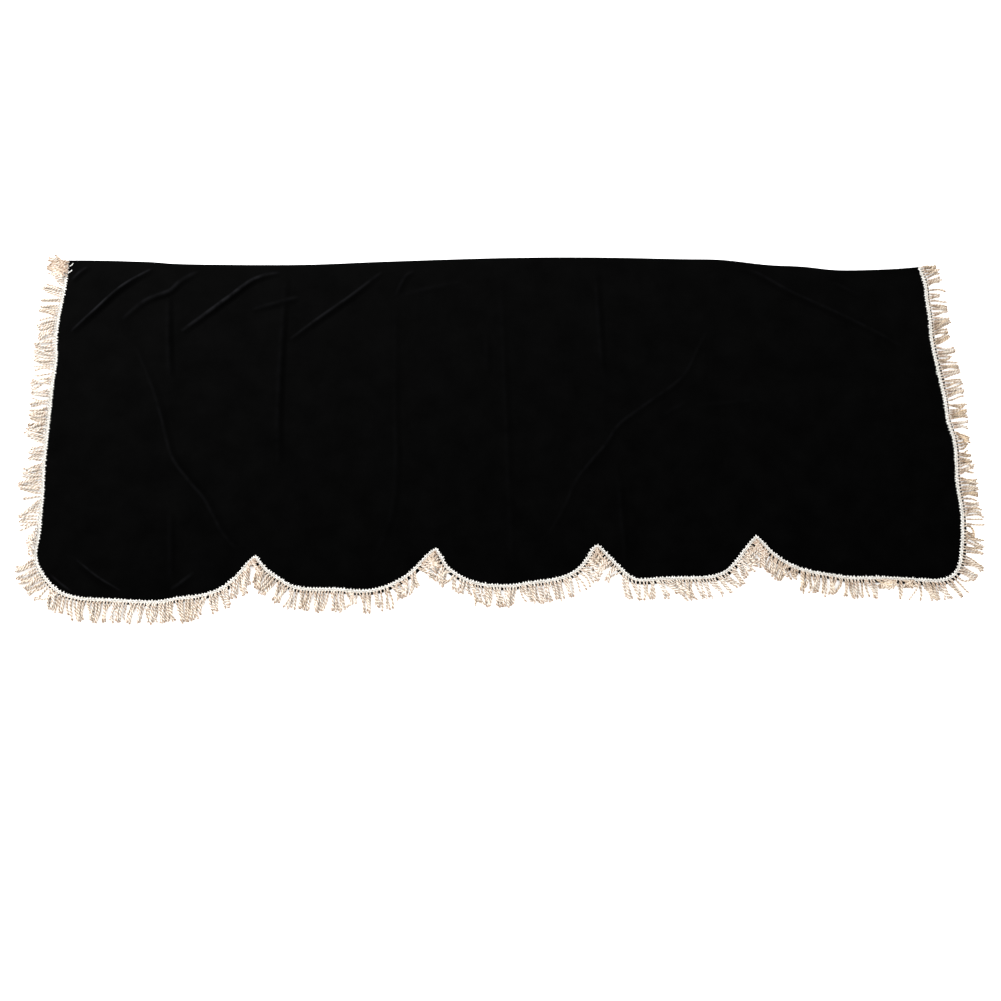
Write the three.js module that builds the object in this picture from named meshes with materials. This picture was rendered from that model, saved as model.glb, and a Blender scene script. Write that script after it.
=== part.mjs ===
// Cover for an upright piano: a velvet panel with five scallops, edged with bullion fringe, laid out flat.
//
// Millimetres, +Z up, the underside of the cloth at z = 0. X runs along the length, Y from the scalloped
// hem towards the plain top edge.

import * as THREE from 'three';

// Cloth and trimming, in section
const clothThick = 2;
const seamGap = 0.3;
const headerWide = 7;
const headerThick = 2.2;
const clothPastHeaderInside = 12;
const strandRoot = 4.6;
const strandWide = 6.4;
const strandTip = 5.2;
const strandHigh = 3;
const strandPitch = 11.8;
const leastStrandGap = 0.8;
const clearOfEdge = 1.2;

// Strands at the hem's points: the trim left free of them, how far along the trim they are narrower and turn
// towards the middle of the notch, and by what shares
const pointClearance = 14;
const pointReach = 60;
const narrowAtPoints = 0.4;
const turnToMiddle = 0.95;

// Fringe depth beyond the header, at the hem where the trim faces down more than hemFacing, and at the sides.
// Then how unevenly the strands lie, and the waves in which they do so along the trim: each has its share,
// its length over a full turn of 2 pi, and where it starts, in radians.
const hemStrand = 41;
const sideStrand = 37;
const hemFacing = -0.5;
const strandUneven = 4;
const strandFall = 10;
const shortestRun = 14;
const strandLean = 6.3;
const strandBend = 7;
const sways = [
  { share: 1, long: 31, start: 0 },
  { share: 0.6, long: 12.7, start: 1.3 },
  { share: 0.5, long: 71, start: 0.4 },
];
const bendSway = { share: 1, long: 17, start: 2 };
const lengthSway = { share: 1, long: 0.6, start: 0 };

// Sides of the cloth at the inner edge of the header, from the top corner down, and from the hem up
const leftSide = [
  { x: -956, y: 395 },
  { x: -962.5, y: 255 },
  { x: -961.5, y: 60 },
  { x: -960.5, y: -110 },
  { x: -959, y: -246 },
];
const rightSide = [
  { x: 959, y: -211 },
  { x: 961, y: -60 },
  { x: 950.5, y: 50 },
  { x: 940.5, y: 160 },
  { x: 935, y: 255 },
  { x: 935, y: 325 },
  { x: 924, y: 378 },
];

// Plain top edge between its corners, from left to right
const topEdge = [
  { x: -890, y: 395 },
  { x: -780, y: 391.5 },
  { x: -690, y: 386 },
  { x: -450, y: 384.5 },
  { x: -250, y: 392.5 },
  { x: 0, y: 401 },
  { x: 200, y: 402.5 },
  { x: 400, y: 398.5 },
  { x: 490, y: 396.5 },
  { x: 590, y: 384.5 },
  { x: 670, y: 380 },
  { x: 750, y: 371.5 },
  { x: 860, y: 374 },
];

// Rounded lower corners: how far the side runs on straight, and the hem back, into the curve
const leftCorner = { sidePull: 123.5, hemPull: 113.7 };
const rightCorner = { x: 870, y: -320.5, sidePull: 125, hemPull: 37 };

// Scallops, from left to right. Each one falls from the point at its left (fallPull along fallSlope),
// lies level for fallLevel before its lowest place and riseLevel after it, and rises to the point at
// its right (risePull along riseSlope). Slopes are in degrees.
const scallops = [
  { lowX: -722.4, lowY: -366.4, riseLevel: 190, risePull: 49, riseSlope: 16, pointX: -505.1, pointY: -270.1 },
  { fallPull: 71, fallSlope: 49, fallLevel: 145, lowX: -310, lowY: -343.3,
    riseLevel: 143, risePull: 47, riseSlope: 8, pointX: -131, pointY: -257.4 },
  { fallPull: 82, fallSlope: 64, fallLevel: 47, lowX: 3.1, lowY: -332,
    riseLevel: 187, risePull: 39, riseSlope: 17, pointX: 202.8, pointY: -251.2 },
  { fallPull: 125, fallSlope: 45, fallLevel: 82, lowX: 346, lowY: -317.9,
    riseLevel: 127, risePull: 119, riseSlope: 46, pointX: 531.1, pointY: -232.2 },
  { fallPull: 31, fallSlope: 23, fallLevel: 199, lowX: 767.5, lowY: -316.6 },
];

// Raised folds of the cloth: where each starts, passes and ends, its height and its full width
const folds = [
  { fromX: -951, fromY: 344, viaX: -932, viaY: 366, toX: -911, toY: 384, high: 3, wide: 28 },
  { fromX: -938, fromY: 225, viaX: -850, viaY: 317, toX: -766, toY: 379, high: 6, wide: 34 },
  { fromX: -829, fromY: 253, viaX: -735, viaY: 318, toX: -672, toY: 372, high: 4.5, wide: 32 },
  { fromX: -698, fromY: 225, viaX: -596, viaY: 308, toX: -488, toY: 368, high: 6, wide: 34 },
  { fromX: -545, fromY: 277, viaX: -485, viaY: 296, toX: -441, toY: 308, high: 2.5, wide: 30 },
  { fromX: -459, fromY: 206, viaX: -366, viaY: 281, toX: -262, toY: 368, high: 5, wide: 34 },
  { fromX: -232, fromY: 308, viaX: -215, viaY: 340, toX: -189, toY: 372, high: 2.5, wide: 30 },
  { fromX: -796, fromY: 194, viaX: -697, viaY: -60, toX: -547, toY: -262, high: 3, wide: 40 },
  { fromX: -888, fromY: -284, viaX: -838, viaY: -318, toX: -789, toY: -345, high: 3, wide: 32 },
  { fromX: -681, fromY: -347, viaX: -657, viaY: -330, toX: -632, toY: -309, high: 2.5, wide: 30 },
  { fromX: 93, fromY: -241, viaX: 249, viaY: 7, toX: 392, toY: 120, high: 3, wide: 40 },
  { fromX: 392, fromY: 120, viaX: 427, viaY: 178, toX: 451, toY: 230, high: 2.5, wide: 36 },
  { fromX: 498, fromY: 382, viaX: 723, viaY: 277, toX: 902, toY: 190, high: 3.5, wide: 40 },
];

// Upright creases left by the folding of the cloth into eight, from top to bottom
const creases = [
  { fromX: -732, fromY: 308, viaX: -725, viaY: 206, toX: -714, toY: 113, high: 2.2, wide: 36 },
  { fromX: -693, fromY: -181, viaX: -688, viaY: -250, toX: -682, toY: -330, high: 1.8, wide: 36 },
  { fromX: -476, fromY: 349, viaX: -478, viaY: 140, toX: -472, toY: -78, high: 2.2, wide: 36 },
  { fromX: -232, fromY: 290, viaX: -226, viaY: 22, toX: -222, toY: -241, high: 1.8, wide: 36 },
  { fromX: -1, fromY: 349, viaX: 10, viaY: 60, toX: 24, toY: -300, high: 1.8, wide: 36 },
  { fromX: 209, fromY: 361, viaX: 214, viaY: 245, toX: 219, toY: 125, high: 1.8, wide: 36 },
  { fromX: 246, fromY: -89, viaX: 252, viaY: -190, toX: 258, toY: -290, high: 1.8, wide: 36 },
];

// The cloth lies level along the header: folds fade out between these distances from the inner edge. Each
// fold sinks towards its two ends as a sine of this power does, and its line is followed in this many steps.
const levelAlongHeader = 10;
const fullFoldHeight = 45;
const foldEndPower = 0.7;
const foldLineSteps = 16;

// Places where the strands gather and all point one way: distance along the trim, reach to either side,
// lean in degrees towards the start of the trim, and added length
const tufts = [
  { along: 0, reach: 40, lean: -30, added: -2 },
  { along: 700, reach: 45, lean: -12, added: 8 },
  { along: 3340, reach: 50, lean: 14, added: 0 },
];

// Grid of the panel before it is refined at folds and curves: cells from one corner or point of the hem to
// the next, cells from hem to top, the shortest edge that is still split, and how far the facets may stray
const cellsBetweenPoints = [8, 7, 6, 6, 8];
const cellsDeep = 12;
const leastCell = 24;
const foldTolerance = 0.8;
const foldSamples = 4;
const outlineTolerance = 0.8;

// Share of a rounded corner that counts as the side of the grid, the rest counting as the hem
const cornerShare = 0.33;

// Length over which the trim's direction is taken, and halvings in a search along the top edge
const directionStep = 0.5;
const searchHalvings = 24;

const velvetLook = { color: 0x0b0b0d, roughness: 0.95, metalness: 0 };
const fringeLook = { color: 0xe6d3b3, roughness: 0.8, metalness: 0 };

const slopeVector = (degrees) => {
  const angle = THREE.MathUtils.degToRad(degrees);
  return new THREE.Vector2(Math.cos(angle), Math.sin(angle));
};
const vectorsOf = (rows) => rows.map((row) => new THREE.Vector2(row.x, row.y));

// The line that the inner edge of the header follows: down the left side, along the scallops, up the right
// side. The cloth lies to its left all the way.
function makeTrimLine() {
  const line = new THREE.CurvePath();
  const left = vectorsOf(leftSide);
  const right = vectorsOf(rightSide);
  line.add(new THREE.SplineCurve(left));
  const points = [];
  let start = left.at(-1);
  let pull = new THREE.Vector2(0, -leftCorner.sidePull);
  let level = leftCorner.hemPull;
  for (const row of scallops) {
    const low = new THREE.Vector2(row.lowX, row.lowY);
    if (row.fallPull) {
      pull = slopeVector(-row.fallSlope).multiplyScalar(row.fallPull);
      level = row.fallLevel;
    }
    line.add(new THREE.CubicBezierCurve(
      start,
      start.clone().add(pull),
      new THREE.Vector2(low.x - level, low.y),
      low,
    ));
    if (row.pointX === undefined) {
      start = low;
      break;
    }
    start = new THREE.Vector2(row.pointX, row.pointY);
    line.add(new THREE.CubicBezierCurve(
      low,
      new THREE.Vector2(low.x + row.riseLevel, low.y),
      start.clone().sub(slopeVector(row.riseSlope).multiplyScalar(row.risePull)),
      start,
    ));
    points.push(line.getCurveLengths().at(-1));
  }
  const turn = new THREE.Vector2(rightCorner.x, rightCorner.y);
  line.add(new THREE.LineCurve(start, turn));
  line.add(new THREE.CubicBezierCurve(
    turn,
    new THREE.Vector2(turn.x + rightCorner.hemPull, turn.y),
    new THREE.Vector2(right[0].x, right[0].y - rightCorner.sidePull),
    right[0],
  ));
  line.add(new THREE.SplineCurve(right));
  const ends = line.getCurveLengths();
  return {
    line,
    length: line.getLength(),
    points,
    leftTurn: THREE.MathUtils.lerp(ends[0], ends[1], cornerShare),
    rightTurn: THREE.MathUtils.lerp(ends.at(-3), ends.at(-2), 1 - cornerShare),
  };
}

const trim = makeTrimLine();

// A point on the trim line, in millimetres along it
function trimPoint(along) {
  return trim.line.getPoint(THREE.MathUtils.clamp(along / trim.length, 0, 1));
}

// Outward direction at a place along the trim line, lengthened at a point of the hem as a mitre is
function trimOutward(along) {
  const here = trimPoint(along);
  const before = along - directionStep;
  const after = along + directionStep;
  const sides = [];
  if (before > 0) sides.push(here.clone().sub(trimPoint(before)));
  if (after < trim.length) sides.push(trimPoint(after).sub(here));
  const normals = sides.map((side) => new THREE.Vector2(side.y, -side.x).normalize());
  const sum = normals.reduce((total, normal) => total.add(normal), new THREE.Vector2()).normalize();
  return sum.divideScalar(sum.dot(normals[0]));
}

function trimOffset(along, distance) {
  return trimPoint(along).addScaledVector(trimOutward(along), distance);
}

// Height of a raised fold at a place, from its row in the tables
function makeFold(row) {
  const line = new THREE.SplineCurve([
    new THREE.Vector2(row.fromX, row.fromY),
    new THREE.Vector2(row.viaX, row.viaY),
    new THREE.Vector2(row.toX, row.toY),
  ]).getSpacedPoints(foldLineSteps);
  const half = row.wide / 2;
  return (x, y) => {
    let nearest = half;
    let share = 0;
    for (let i = 0; i + 1 < line.length; i++) {
      const a = line[i];
      const b = line[i + 1];
      const span = (b.x - a.x) ** 2 + (b.y - a.y) ** 2;
      const t = THREE.MathUtils.clamp(((x - a.x) * (b.x - a.x) + (y - a.y) * (b.y - a.y)) / span, 0, 1);
      const away = Math.hypot(x - a.x - t * (b.x - a.x), y - a.y - t * (b.y - a.y));
      if (away < nearest) {
        nearest = away;
        share = (i + t) / (line.length - 1);
      }
    }
    if (nearest >= half) return 0;
    const across = Math.cos((nearest / half) * (Math.PI / 2)) ** 2;
    const alongFold = Math.sin(share * Math.PI) ** foldEndPower;
    return row.high * across * alongFold;
  };
}

const foldHeights = [...folds, ...creases].map(makeFold);

// The panel's outline as four sides of a patch. across and deep run from 0 to 1.
const hemBreaks = [trim.leftTurn, ...trim.points, trim.rightTurn];
const cellsAcross = cellsBetweenPoints.reduce((sum, cells) => sum + cells, 0);

function hemAt(across) {
  let cell = across * cellsAcross;
  let section = 0;
  while (section < cellsBetweenPoints.length - 1 && cell > cellsBetweenPoints[section]) {
    cell -= cellsBetweenPoints[section];
    section += 1;
  }
  const share = cell / cellsBetweenPoints[section];
  const along = THREE.MathUtils.lerp(hemBreaks[section], hemBreaks[section + 1], share);
  return trimOffset(along, clothPastHeaderInside);
}

const topLeft = trimOffset(0, clothPastHeaderInside);
const topRight = trimOffset(trim.length, clothPastHeaderInside);
const topCurve = new THREE.SplineCurve([topLeft, ...vectorsOf(topEdge), topRight]);

function topAt(across) {
  const hem = [hemAt(0).x, hemAt(across).x, hemAt(1).x];
  const x = THREE.MathUtils.mapLinear(hem[1], hem[0], hem[2], topLeft.x, topRight.x);
  let low = 0;
  let high = 1;
  for (let i = 0; i < searchHalvings; i++) {
    const middle = (low + high) / 2;
    if (topCurve.getPoint(middle).x < x) low = middle;
    else high = middle;
  }
  return topCurve.getPoint((low + high) / 2);
}

const leftAt = (deep) => trimOffset(trim.leftTurn * (1 - deep), clothPastHeaderInside);
const rightAt = (deep) => trimOffset(
  THREE.MathUtils.lerp(trim.rightTurn, trim.length, deep),
  clothPastHeaderInside,
);
const lowLeft = hemAt(0);
const lowRight = hemAt(1);

function panelPoint(across, deep) {
  const hem = hemAt(across);
  const top = topAt(across);
  const left = leftAt(deep);
  const right = rightAt(deep);
  const blend = (axis) => (1 - deep) * hem[axis] + deep * top[axis]
    + (1 - across) * left[axis] + across * right[axis]
    - (1 - across) * (1 - deep) * lowLeft[axis] - across * (1 - deep) * lowRight[axis]
    - (1 - across) * deep * topLeft[axis] - across * deep * topRight[axis];
  const x = blend('x');
  const y = blend('y');
  const clothLong = lowRight.x - lowLeft.x;
  const clothDeep = top.y - hem.y;
  const fromTrim = Math.min(across * clothLong, (1 - across) * clothLong, deep * clothDeep);
  const rise = THREE.MathUtils.smoothstep(fromTrim - clothPastHeaderInside, levelAlongHeader, fullFoldHeight);
  const height = rise * Math.max(...foldHeights.map((heightAt) => heightAt(x, y)));
  return new THREE.Vector3(x, y, height);
}

// Splits a triangle's first edge, and again its halves, wherever the surface leaves the flat facet. Each
// triangle is [a, b, c], and its first edge is the one to be split next, so that neighbours always match.
function refinedPanel() {
  const spots = [];
  const add = (across, deep) => {
    const spot = panelPoint(across, deep);
    spots.push({ across, deep, spot });
    return spots.length - 1;
  };
  const grid = [];
  for (let row = 0; row <= cellsDeep; row++) {
    grid.push([]);
    for (let column = 0; column <= cellsAcross; column++) {
      grid[row].push(add(column / cellsAcross, row / cellsDeep));
    }
  }
  let triangles = [];
  for (let row = 0; row < cellsDeep; row++) {
    for (let column = 0; column < cellsAcross; column++) {
      const [a, b] = [grid[row][column], grid[row][column + 1]];
      const [d, c] = [grid[row + 1][column], grid[row + 1][column + 1]];
      triangles.push([c, a, b], [a, c, d]);
    }
  }
  const onOneSide = (a, b) => ['across', 'deep'].some(
    (axis) => spots[a][axis] === spots[b][axis] && (spots[a][axis] === 0 || spots[a][axis] === 1),
  );
  const leavesOutline = (a, b) => {
    if (!onOneSide(a, b)) return false;
    const onSurface = panelPoint(
      (spots[a].across + spots[b].across) / 2,
      (spots[a].deep + spots[b].deep) / 2,
    );
    const middle = spots[a].spot.clone().lerp(spots[b].spot, 0.5);
    return middle.distanceTo(onSurface) > outlineTolerance;
  };
  const leavesFold = (corners) => {
    for (let i = 0; i <= foldSamples; i++) {
      for (let j = 0; i + j <= foldSamples; j++) {
        const shares = [i, j, foldSamples - i - j].map((count) => count / foldSamples);
        const facet = new THREE.Vector3();
        corners.forEach((corner, k) => facet.addScaledVector(corner.spot, shares[k]));
        const height = Math.max(...foldHeights.map((heightAt) => heightAt(facet.x, facet.y)));
        if (Math.abs(height - facet.z) > foldTolerance) return true;
      }
    }
    return false;
  };
  const needsSplit = ([a, b, c]) => {
    const long = spots[a].spot.distanceTo(spots[b].spot);
    if (long < leastCell) return false;
    if (leavesOutline(a, b) || leavesOutline(b, c) || leavesOutline(c, a)) return true;
    return leavesFold([spots[a], spots[b], spots[c]]);
  };
  const middles = new Map();
  const key = (a, b) => (a < b ? `${a} ${b}` : `${b} ${a}`);
  let changed = true;
  while (changed) {
    changed = false;
    const next = [];
    for (const triangle of triangles) {
      const [a, b, c] = triangle;
      const hanging = [key(a, b), key(b, c), key(c, a)].some((edge) => middles.has(edge));
      if (!hanging && !needsSplit(triangle)) {
        next.push(triangle);
        continue;
      }
      if (!middles.has(key(a, b))) {
        const middle = add(
          (spots[a].across + spots[b].across) / 2,
          (spots[a].deep + spots[b].deep) / 2,
        );
        middles.set(key(a, b), middle);
      }
      const middle = middles.get(key(a, b));
      next.push([c, a, middle], [b, c, middle]);
      changed = true;
    }
    triangles = next;
  }
  return { spots: spots.map((entry) => entry.spot), triangles };
}

function solidMesh(name, look, points, triangles) {
  const geometry = new THREE.BufferGeometry().setFromPoints(points);
  geometry.setIndex(triangles.flat());
  geometry.computeVertexNormals();
  const mesh = new THREE.Mesh(geometry, new THREE.MeshStandardMaterial(look));
  mesh.name = name;
  return mesh;
}

// The panel: one sheet of even thickness, raised along its folds
function makePanel() {
  const { spots, triangles } = refinedPanel();
  const count = spots.length;
  const points = [
    ...spots.map((spot) => spot.clone().setZ(spot.z + clothThick)),
    ...spots,
  ];
  const faces = [];
  const edges = new Set(triangles.flatMap(([a, b, c]) => [`${a} ${b}`, `${b} ${c}`, `${c} ${a}`]));
  for (const [a, b, c] of triangles) {
    faces.push([a, b, c], [c + count, b + count, a + count]);
    for (const [from, to] of [[a, b], [b, c], [c, a]]) {
      if (edges.has(`${to} ${from}`)) continue;
      faces.push([from, from + count, to + count], [from, to + count, to]);
    }
  }
  return solidMesh('velvet_panel', velvetLook, points, faces);
}

const swayAt = (wave, along) => wave.share * Math.sin(along / wave.long + wave.start);
const nearness = (distance, reach) => Math.exp(-((distance / reach) ** 2));

function turned(direction, degrees) {
  return direction.clone().rotateAround(new THREE.Vector2(), THREE.MathUtils.degToRad(degrees));
}

// One strand in plan: it leaves the header, steps off the cloth's edge, meets the floor and ends. It leans
// unevenly, turns along the middle of the notch near a point of the hem, and gathers where a tuft is.
function strandAt(along) {
  const outward = trimOutward(along).normalize();
  let lean = strandLean * sways.reduce((sum, wave) => sum + swayAt(wave, along), 0);
  let length = outward.y < hemFacing ? hemStrand : sideStrand;
  length += strandUneven * swayAt(lengthSway, along);
  for (const tuft of tufts) {
    const near = nearness(along - tuft.along, tuft.reach);
    lean += tuft.lean * near;
    length += tuft.added * near;
  }
  const point = trim.points.reduce((a, b) => (Math.abs(b - along) < Math.abs(a - along) ? b : a));
  const atPoint = nearness(along - point, pointReach);
  const notchMiddle = trimOutward(point).normalize();
  const straight = outward.clone().lerp(notchMiddle, turnToMiddle * atPoint).normalize();
  const heading = turned(straight, (1 - atPoint) * lean);
  const run = turned(heading, (1 - atPoint) * strandBend * swayAt(bendSway, along));
  const slim = 1 - narrowAtPoints * atPoint;
  const slant = Math.abs(outward.cross(heading));
  const overEdge = clothPastHeaderInside - headerWide + clearOfEdge + (strandWide / 2) * slant;
  const start = trimOffset(along, headerWide);
  const step = start.clone().addScaledVector(heading, overEdge / outward.dot(heading));
  const floor = step.clone().addScaledVector(heading, strandFall);
  const tip = floor.clone().addScaledVector(run, length - strandFall);
  return { along, slim, heading, run, start, step, floor, tip };
}

// Shortest distance in plan between two stretches
function stretchGap(a, b, c, d) {
  const cross = (o, p, q) => (p.x - o.x) * (q.y - o.y) - (p.y - o.y) * (q.x - o.x);
  if (cross(a, b, c) * cross(a, b, d) < 0 && cross(c, d, a) * cross(c, d, b) < 0) return 0;
  const toStretch = (p, from, to) => {
    const run = to.clone().sub(from);
    const share = THREE.MathUtils.clamp(p.clone().sub(from).dot(run) / run.lengthSq(), 0, 1);
    return p.distanceTo(from.clone().addScaledVector(run, share));
  };
  return Math.min(toStretch(a, c, d), toStretch(b, c, d), toStretch(c, a, b), toStretch(d, a, b));
}

function strandsTouch(one, other) {
  const stretches = (strand) => [
    [strand.start, strand.step, strandRoot],
    [strand.step, strand.floor, strandWide],
    [strand.floor, strand.tip, strandWide],
  ];
  return stretches(one).some(([a, b, wide]) => stretches(other).some(([c, d, otherWide]) => {
    const least = (wide * one.slim + otherWide * other.slim) / 2 + leastStrandGap;
    return stretchGap(a, b, c, d) < least;
  }));
}

// All strands, section by section between the points of the hem. One that would touch an earlier one is
// shorter, and one that has no room at all is left out.
function laidStrands() {
  const laid = [];
  const breaks = [0, ...trim.points, trim.length];
  for (let i = 0; i + 1 < breaks.length; i++) {
    const first = breaks[i] + (i > 0 ? pointClearance : strandRoot);
    const last = breaks[i + 1] - (i + 2 < breaks.length ? pointClearance : strandRoot);
    const gaps = Math.round((last - first) / strandPitch);
    for (let k = 0; k <= gaps; k++) {
      const strand = strandAt(THREE.MathUtils.lerp(first, last, k / gaps));
      const touches = () => laid.some((other) => strandsTouch(strand, other));
      while (touches() && strand.tip.distanceTo(strand.floor) > shortestRun) {
        strand.tip.addScaledVector(strand.run, -1);
      }
      if (!touches()) laid.push(strand);
    }
  }
  return laid;
}

// The trimming: a flat header on the cloth, and three-sided strands that step off the cloth's edge and rest
// on the floor. Each strand's root is a stretch of the header's outer wall.
function makeFringe() {
  const points = [];
  const faces = [];
  const headerLow = clothThick + seamGap;
  const headerTop = headerLow + headerThick;
  const addPoint = (spot, z) => points.push(new THREE.Vector3(spot.x, spot.y, z)) - 1;
  const addFace = (...corner) => {
    for (let i = 1; i + 1 < corner.length; i++) faces.push([corner[0], corner[i], corner[i + 1]]);
  };
  const addStrand = (strand, root) => {
    const rings = [
      { spot: strand.step, heading: strand.heading, z: headerLow, wide: strandRoot },
      { spot: strand.floor, heading: strand.heading, z: 0, wide: strandWide },
      { spot: strand.tip, heading: strand.run, z: 0, wide: strandTip },
    ].map(({ spot, heading, z, wide }) => {
      const half = (wide * strand.slim) / 2;
      const side = new THREE.Vector2(-heading.y, heading.x).multiplyScalar(half);
      return {
        left: addPoint(spot.clone().sub(side), z),
        right: addPoint(spot.clone().add(side), z),
        top: addPoint(spot, z + strandHigh),
      };
    });
    const first = rings[0];
    addFace(root.lowRight, first.right, first.left, root.lowLeft);
    addFace(root.lowLeft, first.left, first.top, root.topLeft);
    addFace(root.topRight, first.top, first.right, root.lowRight);
    addFace(root.topLeft, first.top, root.topRight);
    for (let i = 0; i + 1 < rings.length; i++) {
      const [near, far] = [rings[i], rings[i + 1]];
      addFace(near.right, far.right, far.left, near.left);
      addFace(near.left, far.left, far.top, near.top);
      addFace(near.top, far.top, far.right, near.right);
    }
    const end = rings.at(-1);
    addFace(end.right, end.top, end.left);
  };
  const stations = [
    ...[0, ...trim.points, trim.length].map((along) => ({ along })),
    ...laidStrands(),
  ].sort((a, b) => a.along - b.along);
  let before = null;
  for (const station of stations) {
    const inner = trimPoint(station.along);
    const now = { innerLow: addPoint(inner, headerLow), innerTop: addPoint(inner, headerTop) };
    const half = station.slim ? (strandRoot * station.slim) / 2 : 0;
    const left = trimOffset(station.along - half, headerWide);
    now.lowLeft = addPoint(left, headerLow);
    now.topLeft = addPoint(left, headerTop);
    now.lowRight = now.lowLeft;
    now.topRight = now.topLeft;
    if (station.slim) {
      const right = trimOffset(station.along + half, headerWide);
      now.lowRight = addPoint(right, headerLow);
      now.topRight = addPoint(right, headerTop);
      addFace(now.innerTop, now.topLeft, now.topRight);
      addFace(now.innerLow, now.lowRight, now.lowLeft);
      addStrand(station, now);
    }
    if (before) {
      addFace(before.innerTop, before.topRight, now.topLeft, now.innerTop);
      addFace(before.innerLow, now.innerLow, now.lowLeft, before.lowRight);
      addFace(before.innerLow, before.innerTop, now.innerTop, now.innerLow);
      addFace(before.lowRight, now.lowLeft, now.topLeft, before.topRight);
    } else {
      addFace(now.innerTop, now.innerLow, now.lowLeft, now.topLeft);
    }
    before = now;
  }
  addFace(before.innerLow, before.innerTop, before.topRight, before.lowRight);
  return solidMesh('bullion_fringe', fringeLook, points, faces);
}

const cover = new THREE.Group();
cover.add(makePanel(), makeFringe());
const box = new THREE.Box3().setFromObject(cover);
const middle = box.getCenter(new THREE.Vector3());
cover.position.set(-middle.x, -middle.y, -box.min.z);

export default cover;
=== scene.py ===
# Looks of a velvet cover for an upright piano, edged with bullion fringe and laid out flat
import math
import bpy
import numpy as np
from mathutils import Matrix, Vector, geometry


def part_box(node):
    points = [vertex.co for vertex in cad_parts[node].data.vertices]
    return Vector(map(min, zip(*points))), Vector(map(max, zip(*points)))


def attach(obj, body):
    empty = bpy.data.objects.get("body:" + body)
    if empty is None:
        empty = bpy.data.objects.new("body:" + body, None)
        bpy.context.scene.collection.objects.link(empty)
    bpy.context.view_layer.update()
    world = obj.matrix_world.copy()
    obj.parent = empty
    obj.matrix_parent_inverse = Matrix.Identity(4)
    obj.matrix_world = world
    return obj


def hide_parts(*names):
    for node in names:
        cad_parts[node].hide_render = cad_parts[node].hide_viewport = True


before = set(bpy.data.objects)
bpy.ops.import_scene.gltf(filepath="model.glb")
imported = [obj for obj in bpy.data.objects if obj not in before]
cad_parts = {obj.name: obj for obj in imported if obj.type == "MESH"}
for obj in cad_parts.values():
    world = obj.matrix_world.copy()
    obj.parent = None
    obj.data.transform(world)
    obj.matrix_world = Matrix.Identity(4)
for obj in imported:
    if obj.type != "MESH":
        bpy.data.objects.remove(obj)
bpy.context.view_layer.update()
mm = 0.001
print("frame loaded")


def rowsOf(columns, rows):  # a table as its rows, each with its values under the columns' names
    return [dict(zip(columns, row)) for row in rows]


def columnsOf(columns, rows):  # a table as its columns
    return dict(zip(columns, np.array(rows).T))


# Shape of the cover in millimetres, with the same lines as the solids: the inner edge of the header runs
# down the left side, along the five scallops and up the right side
cover = {
    "leftSide": [(-956, 395), (-962.5, 255), (-961.5, 60), (-960.5, -110), (-959, -246)],
    "rightSide": [(959, -211), (961, -60), (950.5, 50), (940.5, 160), (935, 255), (935, 325), (924, 378)],
    "topEdge": [(-890, 395), (-780, 391.5), (-690, 386), (-450, 384.5), (-250, 392.5), (0, 401), (200, 402.5),
                (400, 398.5), (490, 396.5), (590, 384.5), (670, 380), (750, 371.5), (860, 374)],
    "leftCornerPulls": (123.5, 113.7),
    "rightCornerStart": (870, -320.5),
    "rightCornerPulls": (37, 125),
    "clothPastHeaderInside": 12,    # in the solids, where it is the same all along
    "clothThick": 2,
    "pastEnds": 60,     # the line runs straight on past both ends, for the cords that lean over them
    "notchReach": 9,
}

# One row for each scallop: how it leaves the point at its left (pull, slope), how far it lies level before
# its lowest place, that place, how far after it, how it meets the point at its right, and that point
scallopColumns = ("fallPull", "fallSlope", "fallLevel", "low", "riseLevel", "risePull", "riseSlope", "point")
scallops = rowsOf(scallopColumns, (
    (None, None, None, (-722.4, -366.4), 190, 49, 16, (-505.1, -270.1)),
    (71, 49, 145, (-310, -343.3), 143, 47, 8, (-131, -257.4)),
    (82, 64, 47, (3.1, -332), 187, 39, 17, (202.8, -251.2)),
    (125, 45, 82, (346, -317.9), 127, 119, 46, (531.1, -232.2)),
    (31, 23, 199, (767.5, -316.6), None, None, None, None),
))

# How far the sewn edge strays outwards from its plain curve: the place along it, and the distance out
bows = columnsOf(("along", "out"), (
    (0, -1), (60, -3), (180, 2), (235, -3), (300, 0), (465, 1), (550, -2), (620, -2), (675, 3), (720, 0),
    (770, 4), (870, -1), (960, 2), (1005, -2), (1095, 4), (1230, 3), (1260, -1), (1305, 3), (1380, -1),
    (1455, 4), (1530, 1), (1605, 2), (1640, -1), (1665, 2), (1695, 0), (1800, 3), (1850, -1), (1940, 3),
    (2025, -1.5), (2130, 2.3), (2220, 0.3), (2325, 2.3), (2385, -1.5), (2505, 2.5), (2575, 0.6), (2610, 2.5),
    (2680, 0.6), (2820, 2.6), (2880, -2), (2960, 2), (3025, -3), (3120, 2), (3165, -2), (3210, 1), (3350, -3),
    (3405, 0), (3450, -3), (3490, -1),
))

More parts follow.
